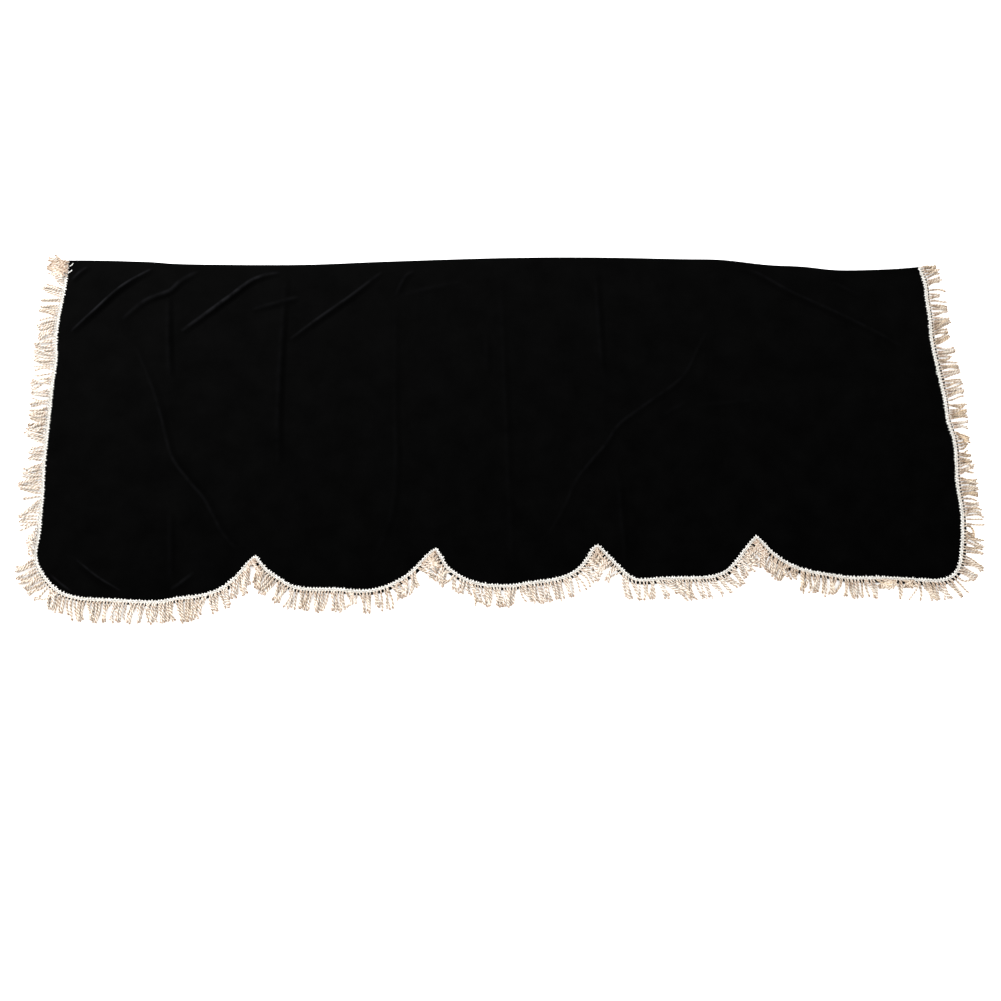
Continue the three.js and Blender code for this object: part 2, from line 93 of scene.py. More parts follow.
# How far the cut edge of the velvet lies past the header's inner edge, under the fringe
clothPast = columnsOf(("along", "out"), (
    (0, 8.5), (700, 8.5), (760, 11), (1050, 11.5), (1085, 14), (1130, 14), (1160, 12), (1450, 12), (1480, 13),
    (1540, 12.5), (1660, 11.5), (1860, 12), (1900, 13), (2000, 12.5), (2025, 12.5), (2036, 18), (2055, 18),
    (2070, 12.5), (2240, 12), (2290, 14.5), (2340, 14.5), (2352, 18), (2370, 18), (2385, 14), (2450, 13),
    (2462, 16.5), (2490, 16.5), (2505, 13.5), (2540, 13), (2630, 13), (2660, 13.5), (2830, 14), (2920, 13.5),
    (2960, 11.2), (3240, 11.2), (3260, 13.5), (3290, 12.5), (3320, 11), (3530, 11),
))
clothWander = {"out": 0.4, "lengths": (47, 19), "starts": (0, 1)}   # mm, mm over a turn of 2 pi, radians


def linear(hexColour):
    values = [int(hexColour[i:i + 2], 16) / 255 for i in (1, 3, 5)]
    return [v / 12.92 if v <= 0.04045 else ((v + 0.055) / 1.055) ** 2.4 for v in values] + [1]


def smoothstep(value, low, high):
    share = np.clip((value - low) / (high - low), 0, 1)
    return share * share * (3 - 2 * share)


def unit(vectors):
    return vectors / np.maximum(np.linalg.norm(vectors, axis=-1, keepdims=True), 1e-9)


def leftOf(run):
    return np.stack([-run[..., 1], run[..., 0]], -1)


def distanceAlong(lines):  # from the start of each line to every point on it
    steps = np.linalg.norm(np.diff(lines, axis=-2), axis=-1)
    return np.concatenate([np.zeros(steps.shape[:-1] + (1,)), np.cumsum(steps, -1)], -1)


def valuesAlong(values, distance, along):  # the first two columns of values known at some distances
    return np.stack([np.interp(along, distance, values[:, axis]) for axis in (0, 1)], -1)


def between(low, high, share):
    return low + (high - low) * share


def slopeVector(degrees):
    return np.array([math.cos(math.radians(degrees)), math.sin(math.radians(degrees))])


def splinePoints(points, perSpan=24):  # uniform Catmull-Rom through the points
    ends = np.array([points[0], *points, points[-1]], float)
    t = np.linspace(0, 1, perSpan, endpoint=False)[:, None]
    spans = []
    for a, b, c, d in zip(ends, ends[1:], ends[2:], ends[3:]):
        leave, arrive = (c - a) / 2, (d - b) / 2
        cubic = 2 * (b - c) + leave + arrive
        square = 3 * (c - b) - 2 * leave - arrive
        spans.append(b + leave * t + square * t ** 2 + cubic * t ** 3)
    return np.vstack([*spans, ends[-1:]])


def bezier(a, b, c, d, t):
    return a * (1 - t) ** 3 + 3 * b * t * (1 - t) ** 2 + 3 * c * t * t * (1 - t) + d * t ** 3


def bezierPoints(a, b, c, d, count=80):
    a, b, c, d = (np.array(p, float) for p in (a, b, c, d))
    return bezier(a, b, c, d, np.linspace(0, 1, count)[:, None])


def plainLine():  # every point of the header's plain inner line, and which of them are the hem's points
    start = np.array(cover["leftSide"][-1], float)
    pull, level = np.array([0, -cover["leftCornerPulls"][0]]), cover["leftCornerPulls"][1]
    curves, pointCurves = [splinePoints(cover["leftSide"])], []
    for row in scallops:
        low = np.array(row["low"], float)
        if row["fallPull"]:
            pull, level = slopeVector(-row["fallSlope"]) * row["fallPull"], row["fallLevel"]
        curves.append(bezierPoints(start, start + pull, low - (level, 0), low))
        start = low
        if row["point"]:
            start = np.array(row["point"], float)
            arrive = start - slopeVector(row["riseSlope"]) * row["risePull"]
            curves.append(bezierPoints(low, low + (row["riseLevel"], 0), arrive, start))
            pointCurves.append(len(curves))
    turn, side = np.array(cover["rightCornerStart"], float), np.array(cover["rightSide"][0], float)
    hemPull, sidePull = cover["rightCornerPulls"]
    curves.append(np.linspace(start, turn, num=40))
    curves.append(bezierPoints(turn, turn + (hemPull, 0), side - (0, sidePull), side))
    curves.append(splinePoints(cover["rightSide"]))
    points = np.vstack([curves[0]] + [curve[1:] for curve in curves[1:]])
    before = points[0] + unit(points[0] - points[1]) * cover["pastEnds"]
    after = points[-1] + unit(points[-1] - points[-2]) * cover["pastEnds"]
    pointIndex = [1 + sum(len(c) - 1 for c in curves[:n]) for n in pointCurves]
    return np.vstack([before, points, after]), pointIndex


linePoints, hemPointIndex = plainLine()
lineDistance = distanceAlong(linePoints) - cover["pastEnds"]
trimLong = lineDistance[-1] - cover["pastEnds"]
hemPoints = lineDistance[hemPointIndex]


def lineAt(along):
    return valuesAlong(linePoints, lineDistance, along)


def outwardAt(along):  # turns to the middle of the notch near a point of the hem, lengthened as a mitre
    step = 0.6
    along = np.asarray(along, float)

    def normal(low, high):
        return unit(-leftOf(lineAt(high) - lineAt(low)))

    outward = normal(along - step, along + step)
    for point in hemPoints:
        before, after = normal(point - 2 * step, point - step), normal(point + step, point + 2 * step)
        middle = unit(before + after)
        near = np.exp(-((along - point) / cover["notchReach"]) ** 2)[..., None]
        outward = unit(between(outward, middle, near)) * between(1, 1 / float(middle @ before), near)
    return outward


def bowAt(along):
    last = len(bows["along"]) - 2
    row = np.clip(np.searchsorted(bows["along"], along, side="right") - 1, 0, last)
    share = smoothstep(along, bows["along"][row], bows["along"][row + 1])
    return between(bows["out"][row], bows["out"][row + 1], share)


def trimPlace(along, out):  # a place on the sewn edge, which strays from the plain line
    along = np.asarray(along, float)
    return lineAt(along) + outwardAt(along) * (out + bowAt(along))[..., None]


def clothEdge(along):
    wander = sum(clothWander["out"] * np.sin(along / long + start)
                 for long, start in zip(clothWander["lengths"], clothWander["starts"]))
    return np.interp(along, clothPast["along"], clothPast["out"]) + wander


# Folds left in the cloth, as lines in millimetres with the height and half width of the ridge, the half width
# of the painted sheen line along it, how bright that painted sheen is, and how much painted shade lies to its
# right
folds = rowsOf(("line", "high", "half", "paintedSheen", "paintedSheenShare", "shade"), (
    ([(-951, 344), (-932, 366), (-911, 385)], 3, 7, 5, 0.4, 0.5),
    ([(-938, 225), (-890, 275), (-835, 332), (-766, 380)], 5.5, 8, 4, 0.95, 0.8),
    ([(-829, 253), (-782, 298), (-729, 322), (-708, 344), (-666, 373)], 3.5, 8, 7, 0.38, 0.6),
    ([(-698, 225), (-648, 265), (-596, 308), (-543, 351), (-488, 368)], 5, 8, 6, 0.75, 0.8),
    ([(-545, 277), (-485, 296), (-441, 308)], 2.2, 8, 7, 0.18, 0.4),
    ([(-459, 206), (-402, 253), (-331, 308), (-262, 368)], 4, 8, 5, 0.45, 0.6),
    ([(-232, 308), (-211, 356), (-189, 370)], 2, 8, 6, 0.12, 0.3),
    ([(-232, 308), (-150, 330), (-85, 344)], 1.2, 9, 8, 0.06, 0.1),
    ([(-547, -262), (-581, -224), (-621, -155), (-655, -116), (-697, -60), (-724, 22), (-751, 97),
      (-796, 194)], 2.6, 9, 6, 0.14, 0.3),
    ([(-880, -282), (-830, -320), (-781, -349)], 3, 8, 3, 0.42, 0.4),
    ([(-933, -312), (-907, -333), (-878, -354)], 2, 7, 3.5, 0.4, 0.2),
    ([(-681, -347), (-657, -330), (-632, -309)], 2.4, 8, 6, 0.2, 0.3),
    ([(93, -241), (135, -166), (157, -116), (190, -72), (222, -34), (249, 7), (288, 40), (326, 68),
      (392, 120), (427, 183), (451, 230)], 2.6, 9, 6, 0.14, 0.2),
    ([(352, 34), (376, 50), (401, 63)], 1.4, 9, 7, 0.06, 0.1),
    ([(418, 56), (480, 60), (547, 68)], 1.4, 9, 7, 0.04, 0.1),
    ([(498, 380), (553, 373), (638, 320), (723, 277), (818, 225), (872, 190)], 3, 9, 6, 0.12, 0.3),
    ([(732, 344), (764, 326), (796, 308)], 1.6, 9, 7, 0.06, 0.1),
    ([(-714, 113), (-725, 206), (-732, 308)], 2, 9, 10, 0.07, 0.6),
    ([(-682, -330), (-688, -250), (-693, -181)], 1.6, 9, 10, 0.05, 0.4),
    ([(-471, -78), (-478, 56), (-478, 206), (-476, 349)], 2, 9, 10, 0.07, 0.6),
    ([(-258, -270), (-228, -180), (-222, -60), (-226, 22), (-232, 301)], 1.7, 9, 9, 0.04, 0.3),
    ([(24, -315), (16, -111), (8, 113), (-1, 349)], 1.7, 9, 9, 0.03, 0.2),
    ([(-31, 125), (-31, 170), (-32, 218)], 1.2, 9, 9, 0.03, 0.2),
    ([(219, 125), (214, 245), (209, 361)], 1.7, 9, 9, 0.05, 0.4),
    ([(258, -294), (252, -190), (246, -89)], 1.6, 9, 9, 0.05, 0.3),
))


def lineNear(places, line):  # distance to a line, the share along it, and how far to its right
    nearest = np.full(len(places), np.inf)
    share, right = np.zeros(len(places)), np.zeros(len(places))
    spans = len(line) - 1
    for i, (a, b) in enumerate(zip(line, line[1:])):
        run = b - a
        t = np.clip((places - a) @ run / (run @ run), 0, 1)
        off = places - a - t[:, None] * run
        away = np.linalg.norm(off, axis=1)
        closer = away < nearest
        nearest[closer] = away[closer]
        share[closer] = (i + t[closer]) / spans
        right[closer] = ((off[:, 0] * run[1] - off[:, 1] * run[0]) / np.linalg.norm(run))[closer]
    return nearest, share, right


def distanceTo(places, line, batch=4000):
    return np.concatenate([lineNear(places[k:k + batch], line)[0] for k in range(0, len(places), batch)])


velvet = {
    "latticeStep": 8.5,
    "alongFoldStep": 5,
    "besideFold": (0, 1.8, 3.6, 5.6, 8, 12, 17),    # mm from the fold's line, where its points lie
    "edgeStep": 3.5,
    "edgeClear": 0.8,       # share of that step, within which no other point lies
    "leastGap": 1.7,
    "sameSpot": 0.001,
    "softBase": 2.1,        # half width of the fold's soft foot, against the ridge's
    "baseShare": 0.35,      # and how much of its height is in that foot
    "foldEndPower": 0.7,
    "shadeWide": 16,
    "waveHigh": 0.7,
    "swell": {"share": 0.35, "across": 47, "up": 61, "bends": (1.7, 1.3), "bendLengths": (83, 97)},
    "ripple": {"share": 0.15, "across": 21, "up": 34, "bend": 2, "bendLength": 55, "lean": (29, 63)},
    "levelAtTrim": (12, 45),    # mm from the edge, between which the cloth comes free of the trim's pull
    # mm in from the header's inner edge, over which the painted sheen and painted shade fade in
    "paintedLightAtTrim": (2, 9),
    "edgeRound": 0.45,
}


# Each fold's height, with the painted sheen along its ridge and the painted shade to its right
def foldHeight(places):
    high, paintedSheenShare, shade = (np.zeros(len(places)) for _ in range(3))
    for fold in folds:
        away, share, right = lineNear(places, splinePoints(fold["line"], perSpan=6))
        fade = np.sin(share * math.pi) ** velvet["foldEndPower"]
        ridge, base, paintedSheen = (np.cos(np.clip(away / half, 0, 1) * math.pi / 2) ** 2 for half in (
            fold["half"], fold["half"] * velvet["softBase"], fold["paintedSheen"]))
        rise = fold["high"] * fade * ((1 - velvet["baseShare"]) * ridge + velvet["baseShare"] * base)
        beyond = np.sin(np.clip(right / velvet["shadeWide"], 0, 1) * math.pi) * (away < velvet["shadeWide"])
        high = np.maximum(high, rise)
        paintedSheenShare = np.maximum(paintedSheenShare, paintedSheen * fade * fold["paintedSheenShare"])
        shade = np.maximum(shade, beyond * fade * fold["shade"])
    return high, paintedSheenShare, shade


def waves(places):  # the slight unevenness of cloth laid on a floor, with lengths in mm over a turn of 2 pi
    x, y = places[:, 0], places[:, 1]
    wave, acrossBend, upBend = velvet["swell"], *velvet["swell"]["bends"]
    longUp, longAcross = wave["bendLengths"]
    swell = np.sin(x / wave["across"] + acrossBend * np.sin(y / longUp))
    swell = wave["share"] * (swell * np.sin(y / wave["up"] + upBend * np.sin(x / longAcross + 2)))
    wave = velvet["ripple"]
    longUp, longAcross = wave["lean"]
    ripple = np.sin(x / wave["across"] + y / wave["up"] + wave["bend"] * np.sin(y / wave["bendLength"]))
    ripple = wave["share"] * (ripple * np.sin(y / longUp - x / longAcross))
    return velvet["waveHigh"] * (0.5 + swell + ripple)


def newObject(name, mesh, material):
    piece = bpy.data.objects.new(name, mesh)
    bpy.context.scene.collection.objects.link(piece)
    mesh.materials.append(material)
    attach(piece, "root")
    return piece


def meshFrom(name, points, quads, triangles=(), smooth=True):
    quads, triangles = np.array(quads, int).reshape(-1, 4), np.array(triangles, int).reshape(-1, 3)
    mesh = bpy.data.meshes.new(name)
    mesh.vertices.add(len(points))
    mesh.vertices.foreach_set("co", (np.asarray(points, float) * mm).ravel())
    mesh.loops.add(quads.size + triangles.size)
    mesh.loops.foreach_set("vertex_index", np.concatenate([quads.ravel(), triangles.ravel()]))
    mesh.polygons.add(len(quads) + len(triangles))
    starts = np.concatenate([np.arange(len(quads)) * 4, quads.size + np.arange(len(triangles)) * 3])
    mesh.polygons.foreach_set("loop_start", starts)
    mesh.polygons.foreach_set("use_smooth", np.full(len(starts), smooth))
    mesh.update(calc_edges=True)
    mesh.validate()
    return mesh


def paintValues(mesh, name, values):
    mesh.attributes.new(name, "FLOAT", "POINT").data.foreach_set("value", np.asarray(values, np.float32))


def thinnedOut(places, gap):  # keeps the first of any places that lie closer than the gap
    kept, cells = [], {}
    for i, place in enumerate(places):
        cell = (int(place[0] // gap), int(place[1] // gap))
        near = [k for dx in (-1, 0, 1) for dy in (-1, 0, 1)
                for k in cells.get((cell[0] + dx, cell[1] + dy), ())]
        if any((places[k][0] - place[0]) ** 2 + (places[k][1] - place[1]) ** 2 < gap * gap for k in near):
            continue
        cells.setdefault(cell, []).append(i)
        kept.append(i)
    return places[kept]


def velvetOutline():
    along = np.linspace(0, trimLong, int(trimLong / velvet["edgeStep"]))
    along = np.unique(np.concatenate([along, hemPoints]))
    trimSide = trimPlace(along, clothEdge(along))
    top = splinePoints([tuple(trimSide[-1]), *reversed(cover["topEdge"]), tuple(trimSide[0])], perSpan=48)
    return np.vstack([trimSide, top[1:-1]])


def velvetSpots(outline):  # close together along the folds, on an even lattice elsewhere
    lines = [splinePoints(fold["line"], perSpan=12) for fold in folds]
    beside = []
    for line in lines:
        across = unit(leftOf(np.gradient(line, axis=0)))
        long = distanceAlong(line)
        places = np.linspace(0, long[-1], max(2, int(long[-1] / velvet["alongFoldStep"])))
        onLine, sideways = (valuesAlong(values, long, places) for values in (line, across))
        beside += [onLine + sideways * away for away in velvet["besideFold"]]
        beside += [onLine - sideways * away for away in velvet["besideFold"][1:]]
    step = velvet["latticeStep"]
    low, high = outline.min(0), outline.max(0)
    rows = np.arange(low[1], high[1], step * math.sqrt(0.75))
    lattice = np.array([(x + (k % 2) * step / 2, y) for k, y in enumerate(rows)
                        for x in np.arange(low[0], high[0], step)])
    for line in lines:
        lattice = lattice[distanceTo(lattice, line) > velvet["besideFold"][-1] + step / 3]
    inner = np.vstack([*beside, lattice])
    closed = np.vstack([outline, outline[:1]])
    inner = inner[distanceTo(inner, closed) > velvet["edgeStep"] * velvet["edgeClear"]]
    return thinnedOut(inner, velvet["leastGap"]), closed


def facingUp(faces, places):
    a, b, c = (places[faces[:, k]] for k in (0, 1, 2))
    turn = (b - a)[:, 0] * (c - a)[:, 1] - (b - a)[:, 1] * (c - a)[:, 0]
    faces[turn < 0] = faces[turn < 0][:, ::-1]
    return faces


def rimOf(faces, places):  # the sides that only one face has, the places on them, and the way out at each
    sides = np.vstack([faces[:, [0, 1]], faces[:, [1, 2]], faces[:, [2, 0]]])
    present = {(int(p), int(q)) for p, q in sides}
    rim = np.array(sorted((p, q) for p, q in present if (q, p) not in present))
    outwards = np.zeros((len(places), 2))
    for p, q in rim:
        left = leftOf(places[q] - places[p])
        outwards[p] -= left
        outwards[q] -= left
    onRim = np.unique(rim)
    return rim, onRim, unit(outwards[onRim])


def velvetSheet(material):
    outline = velvetOutline()
    inner, closed = velvetSpots(outline)
    edges = [(i, (i + 1) % len(outline)) for i in range(len(outline))]
    spots = [tuple(p) for p in np.vstack([outline, inner])]
    insideOutline = 1   # the kind of result that leaves out what lies beyond the edges
    flat = geometry.delaunay_2d_cdt(spots, edges, [], insideOutline, velvet["sameSpot"])
    places = np.array([tuple(p) for p in flat[0]])
    faces = facingUp(np.array(flat[2]), places)
    rim, onRim, outward = rimOf(faces, places)
    high, paintedSheenShare, shade = foldHeight(places)
    fromEdge = distanceTo(places, closed)
    level = smoothstep(fromEdge, *velvet["levelAtTrim"])
    shown = smoothstep(fromEdge - cover["clothPastHeaderInside"], *velvet["paintedLightAtTrim"])
    under = level * (high + waves(places))
    count, thick = len(places), cover["clothThick"]
    middle = np.full(count, -1)     # of the edge's thickness, rounded outwards
    middle[onRim] = 2 * count + np.arange(len(onRim))
    bulge = places[onRim] + outward * velvet["edgeRound"]
    points = np.vstack([
        np.column_stack([places, under + thick]),
        np.column_stack([places, under]),
        np.column_stack([bulge, under[onRim] + thick / 2]),
    ])
    quads = []
    for p, q in rim:
        quads += [(p, middle[p], middle[q], q), (middle[p], p + count, q + count, middle[q])]
    triangles = np.vstack([faces, faces[:, ::-1] + count])
    points[:, :2] += shift
    mesh = meshFrom("velvetSheet", points, quads, triangles)
    # painted sheen and painted shade, faded out under the trim
    below = np.zeros(count + len(onRim))
    paintValues(mesh, "paintedSheenShare", np.concatenate([paintedSheenShare * shown, below]))
    paintValues(mesh, "shade", np.concatenate([shade * shown, below]))
    return newObject("velvetSheet", mesh, material)


def outlineShift():  # the frame's origin is in the middle of the solids, whose edge has no bows
    along = np.linspace(0, trimLong, num=4000)
    outline = lineAt(along) + outwardAt(along) * cover["clothPastHeaderInside"]
    low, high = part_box("velvet_panel")
    return np.array([(low.x + high.x) / 2 / mm - (outline[:, 0].min() + outline[:, 0].max()) / 2,
                     low.y / mm - outline[:, 1].min()])


shift = outlineShift()
print("frame origin", np.round(shift, 2))


yarnUnit = 10   # mm along the yarn for each unit of its map


def tubes(name, paths, radii, sides, material, values):  # paths are shaped (tubes, rings, 3)
    count, rings = paths.shape[:2]
    run = unit(np.gradient(paths, axis=1))
    across = np.zeros_like(paths)
    start = np.cross(run[:, 0], (0.0, 0.0, 1.0))
    start[np.linalg.norm(start, axis=1) < 0.1] = (1.0, 0.0, 0.0)
    across[:, 0] = unit(start - run[:, 0] * (start * run[:, 0]).sum(-1, keepdims=True))
    for i in range(1, rings):
        side = across[:, i - 1]
        across[:, i] = unit(side - run[:, i] * (side * run[:, i]).sum(-1, keepdims=True))
    upward = np.cross(across, run)
    turn = np.arange(sides) * 2 * math.pi / sides
    radii = np.broadcast_to(radii, (count, rings))[..., None, None]
    around = (across[:, :, None] * np.cos(turn)[:, None] + upward[:, :, None] * np.sin(turn)[:, None])
    points = (paths[:, :, None] + around * radii).reshape(-1, 3)
    ring, side, tube = np.meshgrid(np.arange(rings - 1), np.arange(sides), np.arange(count), indexing="ij")
    ring, side, tube = ring.ravel(), side.ravel(), tube.ravel()
    nextSide = (side + 1) % sides
    corner = (tube * rings + ring) * sides
    quads = np.stack([corner + side, corner + sides + side, corner + sides + nextSide, corner + nextSide], -1)
    firstRing = np.arange(count)[:, None] * rings * sides
    fan = np.array([(0, k, k + 1) for k in range(1, sides - 1)])
    caps = np.vstack([(firstRing[:, :, None] + fan).reshape(-1, 3),
                      (firstRing[:, :, None] + (rings - 1) * sides + fan[:, ::-1]).reshape(-1, 3)])
    points[:, :2] += shift
    mesh = meshFrom(name, points, quads, caps)
    long = distanceAlong(paths)
    alongUv = np.stack([long[tube, ring], long[tube, ring + 1], long[tube, ring + 1], long[tube, ring]], -1)
    aroundUv = np.stack([side, side, side + 1, side + 1], -1) / sides
    capUv = np.zeros((len(caps) * 3, 2))
    yarn = mesh.uv_layers.new(name="yarn")  # the way along the yarn, and turns around it
    yarn.data.foreach_set("uv", np.vstack([
        np.stack([alongUv.ravel() / yarnUnit, aroundUv.ravel()], -1), capUv]).ravel())
    for key, value in values.items():
        paintValues(mesh, key, np.broadcast_to(value, (count, rings, sides)).ravel())
    return newObject(name, mesh, material)


def addNode(tree, kind, settings=None, inputs=None, stops=()):  # the stops are those of a colour ramp
    node = tree.nodes.new("ShaderNode" + kind)
    for name, value in (settings or {}).items():
        setattr(node, name, value)
    for name, value in (inputs or {}).items():
        if isinstance(value, bpy.types.NodeSocket):
            tree.links.new(value, node.inputs[name])
        else:
            node.inputs[name].default_value = value
    for k, (place, colour) in enumerate(stops):
        stop = node.color_ramp.elements[k]
        stop.position, stop.color = place, linear(colour)
    return node


metre = 1000   # mm, so that a pattern repeats as many times in a metre as its size goes into it


def newMaterial(name):
    material = bpy.data.materials.new(name)
    material.use_nodes = True
    material.node_tree.nodes.clear()
    return material, material.node_tree


# Cut pile of dyed black viscose: the fibres swallow light from above, so the cloth is near black, with
# patches where the pile was brushed. A faint sheen along the folds is painted into its colour, with painted
# shade beside it, and it is painted lighter towards the top left
velvetLook = {
    "deep": "#020202",
    "laid": "#050505",
    "paintedSheen": "#161618",
    "shaded": "#010101",
    "tuft": 1.1,        # mm, coarser than real pile of 0.3 mm so that it shows
    "brushed": 60,      # mm, patches where the pile lies another way
    "broken": 24,       # mm, along the folds, where their painted sheen is stronger and weaker
    "paintedLightAcross": -0.16,    # painted light: how the pile's painted brightness changes with each metre to the right
    "paintedLightUp": 0.7,          # and with each metre towards the top edge
}


def blackPileVelvet():
    material, tree = newMaterial("black pile velvet")
    place = addNode(tree, "TexCoord").outputs["Object"]
    brushed, broken, tuft = (addNode(tree, "TexNoise", inputs={
        "Vector": place, "Scale": metre / velvetLook[size], "Detail": detail, "Roughness": 0.55,
    }).outputs["Fac"] for size, detail in (("brushed", 3.0), ("broken", 2.0), ("tuft", 2.0)))
    paintedSheenShare, shade = (addNode(tree, "Attribute", {"attribute_name": name}).outputs["Fac"]
                    for name in ("paintedSheenShare", "shade"))
    parts = addNode(tree, "SeparateXYZ", inputs={"Vector": place})
    # the pile's tone: brushed patches, with painted light that makes it lighter towards the top left and
    # darker towards the bottom right
    laid = brushed
    for axis, change in (("X", velvetLook["paintedLightAcross"]), ("Y", velvetLook["paintedLightUp"])):
        laid = addNode(tree, "Math", {"operation": "MULTIPLY_ADD"}, {
            0: parts.outputs[axis], 1: change, 2: laid}).outputs[0]
    colour = addNode(tree, "ValToRGB", inputs={"Fac": laid}, stops=[
        (0.1, velvetLook["deep"]), (1.0, velvetLook["laid"])]).outputs["Color"]
    uneven = addNode(tree, "MapRange", inputs={
        "Value": broken, "From Min": 0.35, "From Max": 0.6, "To Min": 0.35, "To Max": 1.0}).outputs["Result"]
    # painted sheen along the folds, broken up, and painted shade to their right
    shining = addNode(tree, "Math", {"operation": "MULTIPLY"}, {0: paintedSheenShare, 1: uneven}).outputs[0]
    for share, look in ((shade, "shaded"), (shining, "paintedSheen")):
        colour = addNode(tree, "Mix", {"data_type": "RGBA"}, {
            0: share, 6: colour, 7: linear(velvetLook[look])}).outputs[2]
    pile = addNode(tree, "Bump", inputs={
        "Strength": 0.4, "Distance": 0.5 * mm, "Height": tuft}).outputs["Normal"]
    patches = addNode(tree, "Bump", inputs={
        "Strength": 0.1, "Distance": 2 * mm, "Height": brushed, "Normal": pile}).outputs["Normal"]
    shader = addNode(tree, "BsdfPrincipled", inputs={
        "Base Color": colour, "Roughness": 1.0, "Specular IOR Level": 0.0, "Sheen Weight": 0.0015,
        "Sheen Roughness": 0.35, "Sheen Tint": linear("#d8dae0"), "Normal": patches})
    addNode(tree, "OutputMaterial", inputs={"Surface": shader.outputs["BSDF"]})
    return material


# Viscose yarn twisted into cord: silky, cream on the crown of each ply, with brown painted shade between the
# plies and where the cord gets less light
cordLook = {
    "crown": "#dad6cd",
    "tanCrown": "#ccb493",
    "paintedPlyShade": "#845b33",
    "paintedTanPlyShade": "#4b2a0f",
    "fibreTwist": 1.6,  # mm between the yarn's own turns
    "dyeSpots": 5,      # mm, along which the dye took more and less
}


def creamTwistedViscose():
    material, tree = newMaterial("cream twisted viscose")
    tone, crown = (addNode(tree, "Attribute", {"attribute_name": name}).outputs["Fac"]
                   for name in ("tone", "crown"))
    yarn = addNode(tree, "UVMap", {"uv_map": "yarn"}).outputs["UV"]
    parts = addNode(tree, "SeparateXYZ", inputs={"Vector": yarn})
    fibres = parts.outputs["X"]     # a wave that winds around the yarn
    for operation, value in (("MULTIPLY", yarnUnit / cordLook["fibreTwist"]), ("ADD", parts.outputs["Y"]),
                             ("MULTIPLY", 2 * math.pi), ("SINE", 0)):
        fibres = addNode(tree, "Math", {"operation": operation}, {0: fibres, 1: value}).outputs[0]
    place = addNode(tree, "TexCoord").outputs["Object"]
    dye = addNode(tree, "TexNoise", inputs={
        "Vector": place, "Scale": metre / cordLook["dyeSpots"], "Detail": 1.0}).outputs["Fac"]
    dyed = addNode(tree, "MapRange", inputs={
        "Value": dye, "From Min": 0.3, "From Max": 0.55, "To Min": 0.6, "To Max": 1.0}).outputs["Result"]
    caught = addNode(tree, "Math", {"operation": "MULTIPLY"}, {0: crown, 1: dyed}).outputs[0]
    # cream where the cord is lit, brown painted shade between the plies and where it gets less light
    light, dark = (addNode(tree, "ValToRGB", inputs={"Fac": tone}, stops=[
        (0.0, cordLook[cream]), (full, cordLook[tan])]).outputs["Color"]
        for cream, tan, full in (("crown", "tanCrown", 1.0), ("paintedPlyShade", "paintedTanPlyShade", 0.8)))
    colour = addNode(tree, "Mix", {"data_type": "RGBA"}, {0: caught, 6: dark, 7: light}).outputs[2]
    bump = addNode(tree, "Bump", inputs={
        "Strength": 0.4, "Distance": 0.12 * mm, "Height": fibres}).outputs["Normal"]
    shader = addNode(tree, "BsdfPrincipled", inputs={
        "Base Color": colour, "Roughness": 0.5, "Specular IOR Level": 0.4, "Sheen Weight": 0.1,
        "Normal": bump})
    addNode(tree, "OutputMaterial", inputs={"Surface": shader.outputs["BSDF"]})
    return material


# Mercerised cotton, crocheted: the palest part of the trimming, with small shadows between its stitches
cottonLook = {
    "pale": "#f5f4f1",
    "shaded": "#b1ada4",
    "deep": "#77726a",  # painted shade: the tape, seen only between the braids
    "stitch": 2.6,      # mm
}


def whiteCrochetCotton():
    material, tree = newMaterial("white crochet cotton")
    place = addNode(tree, "TexCoord").outputs["Object"]
    fuzz = addNode(tree, "TexNoise", inputs={
        "Vector": place, "Scale": metre / cottonLook["stitch"], "Detail": 2.0}).outputs["Fac"]
    stitched = addNode(tree, "ValToRGB", inputs={"Fac": fuzz}, stops=[
        (0.3, cottonLook["shaded"]), (0.7, cottonLook["pale"])]).outputs["Color"]
    # painted shade: the tape takes the dark colour, the braids a little of it
    crown = addNode(tree, "Attribute", {"attribute_name": "crown"}).outputs["Fac"]
    colour = addNode(tree, "Mix", {"data_type": "RGBA"}, {
        0: crown, 6: linear(cottonLook["deep"]), 7: stitched}).outputs[2]
    bump = addNode(tree, "Bump", inputs={
        "Strength": 0.5, "Distance": 0.2 * mm, "Height": fuzz}).outputs["Normal"]
    shader = addNode(tree, "BsdfPrincipled", inputs={
        "Base Color": colour, "Roughness": 0.7, "Specular IOR Level": 0.25, "Normal": bump})
    addNode(tree, "OutputMaterial", inputs={"Surface": shader.outputs["BSDF"]})
    return material


velvetMaterial = blackPileVelvet()
cordMaterial = creamTwistedViscose()
cottonMaterial = whiteCrochetCotton()

sheet = velvetSheet(velvetMaterial)
print("velvet", len(sheet.data.polygons), "faces")

# The header: a narrow tape with two flat braids on it and a row of picots along its inner edge
header = {
    "tape": {"from": 2.2, "to": 6.8, "low": 2.25, "high": 2.8, "step": 3.5},
    "braids": {
        "headerBraidInner": {"middle": 3.1, "half": 0.8},
        "headerBraidOuter": {"middle": 6.0, "half": 0.7},
    },
    "braidPeriod": 12.7,
    "braidYarns": 2,
    "stepsPerPeriod": 12,
    "yarn": 0.68,
    "yarnSides": 5,
    "braidHigh": 3.4,
    "braidLit": 0.8,    # share of painted light on the braids, against the picots
    "crossing": 0.4,    # mm by which the yarns rise and sink where they cross
    "endGap": 0.5,
    "picot": {"pitch": 6.35, "wide": 1.7, "top": 0.1, "from": 3.0, "yarn": 0.72, "high": 3.1, "rings": 7,
              "topNoise": 0.6, "sideNoise": 0.7, "seed": 17},
}


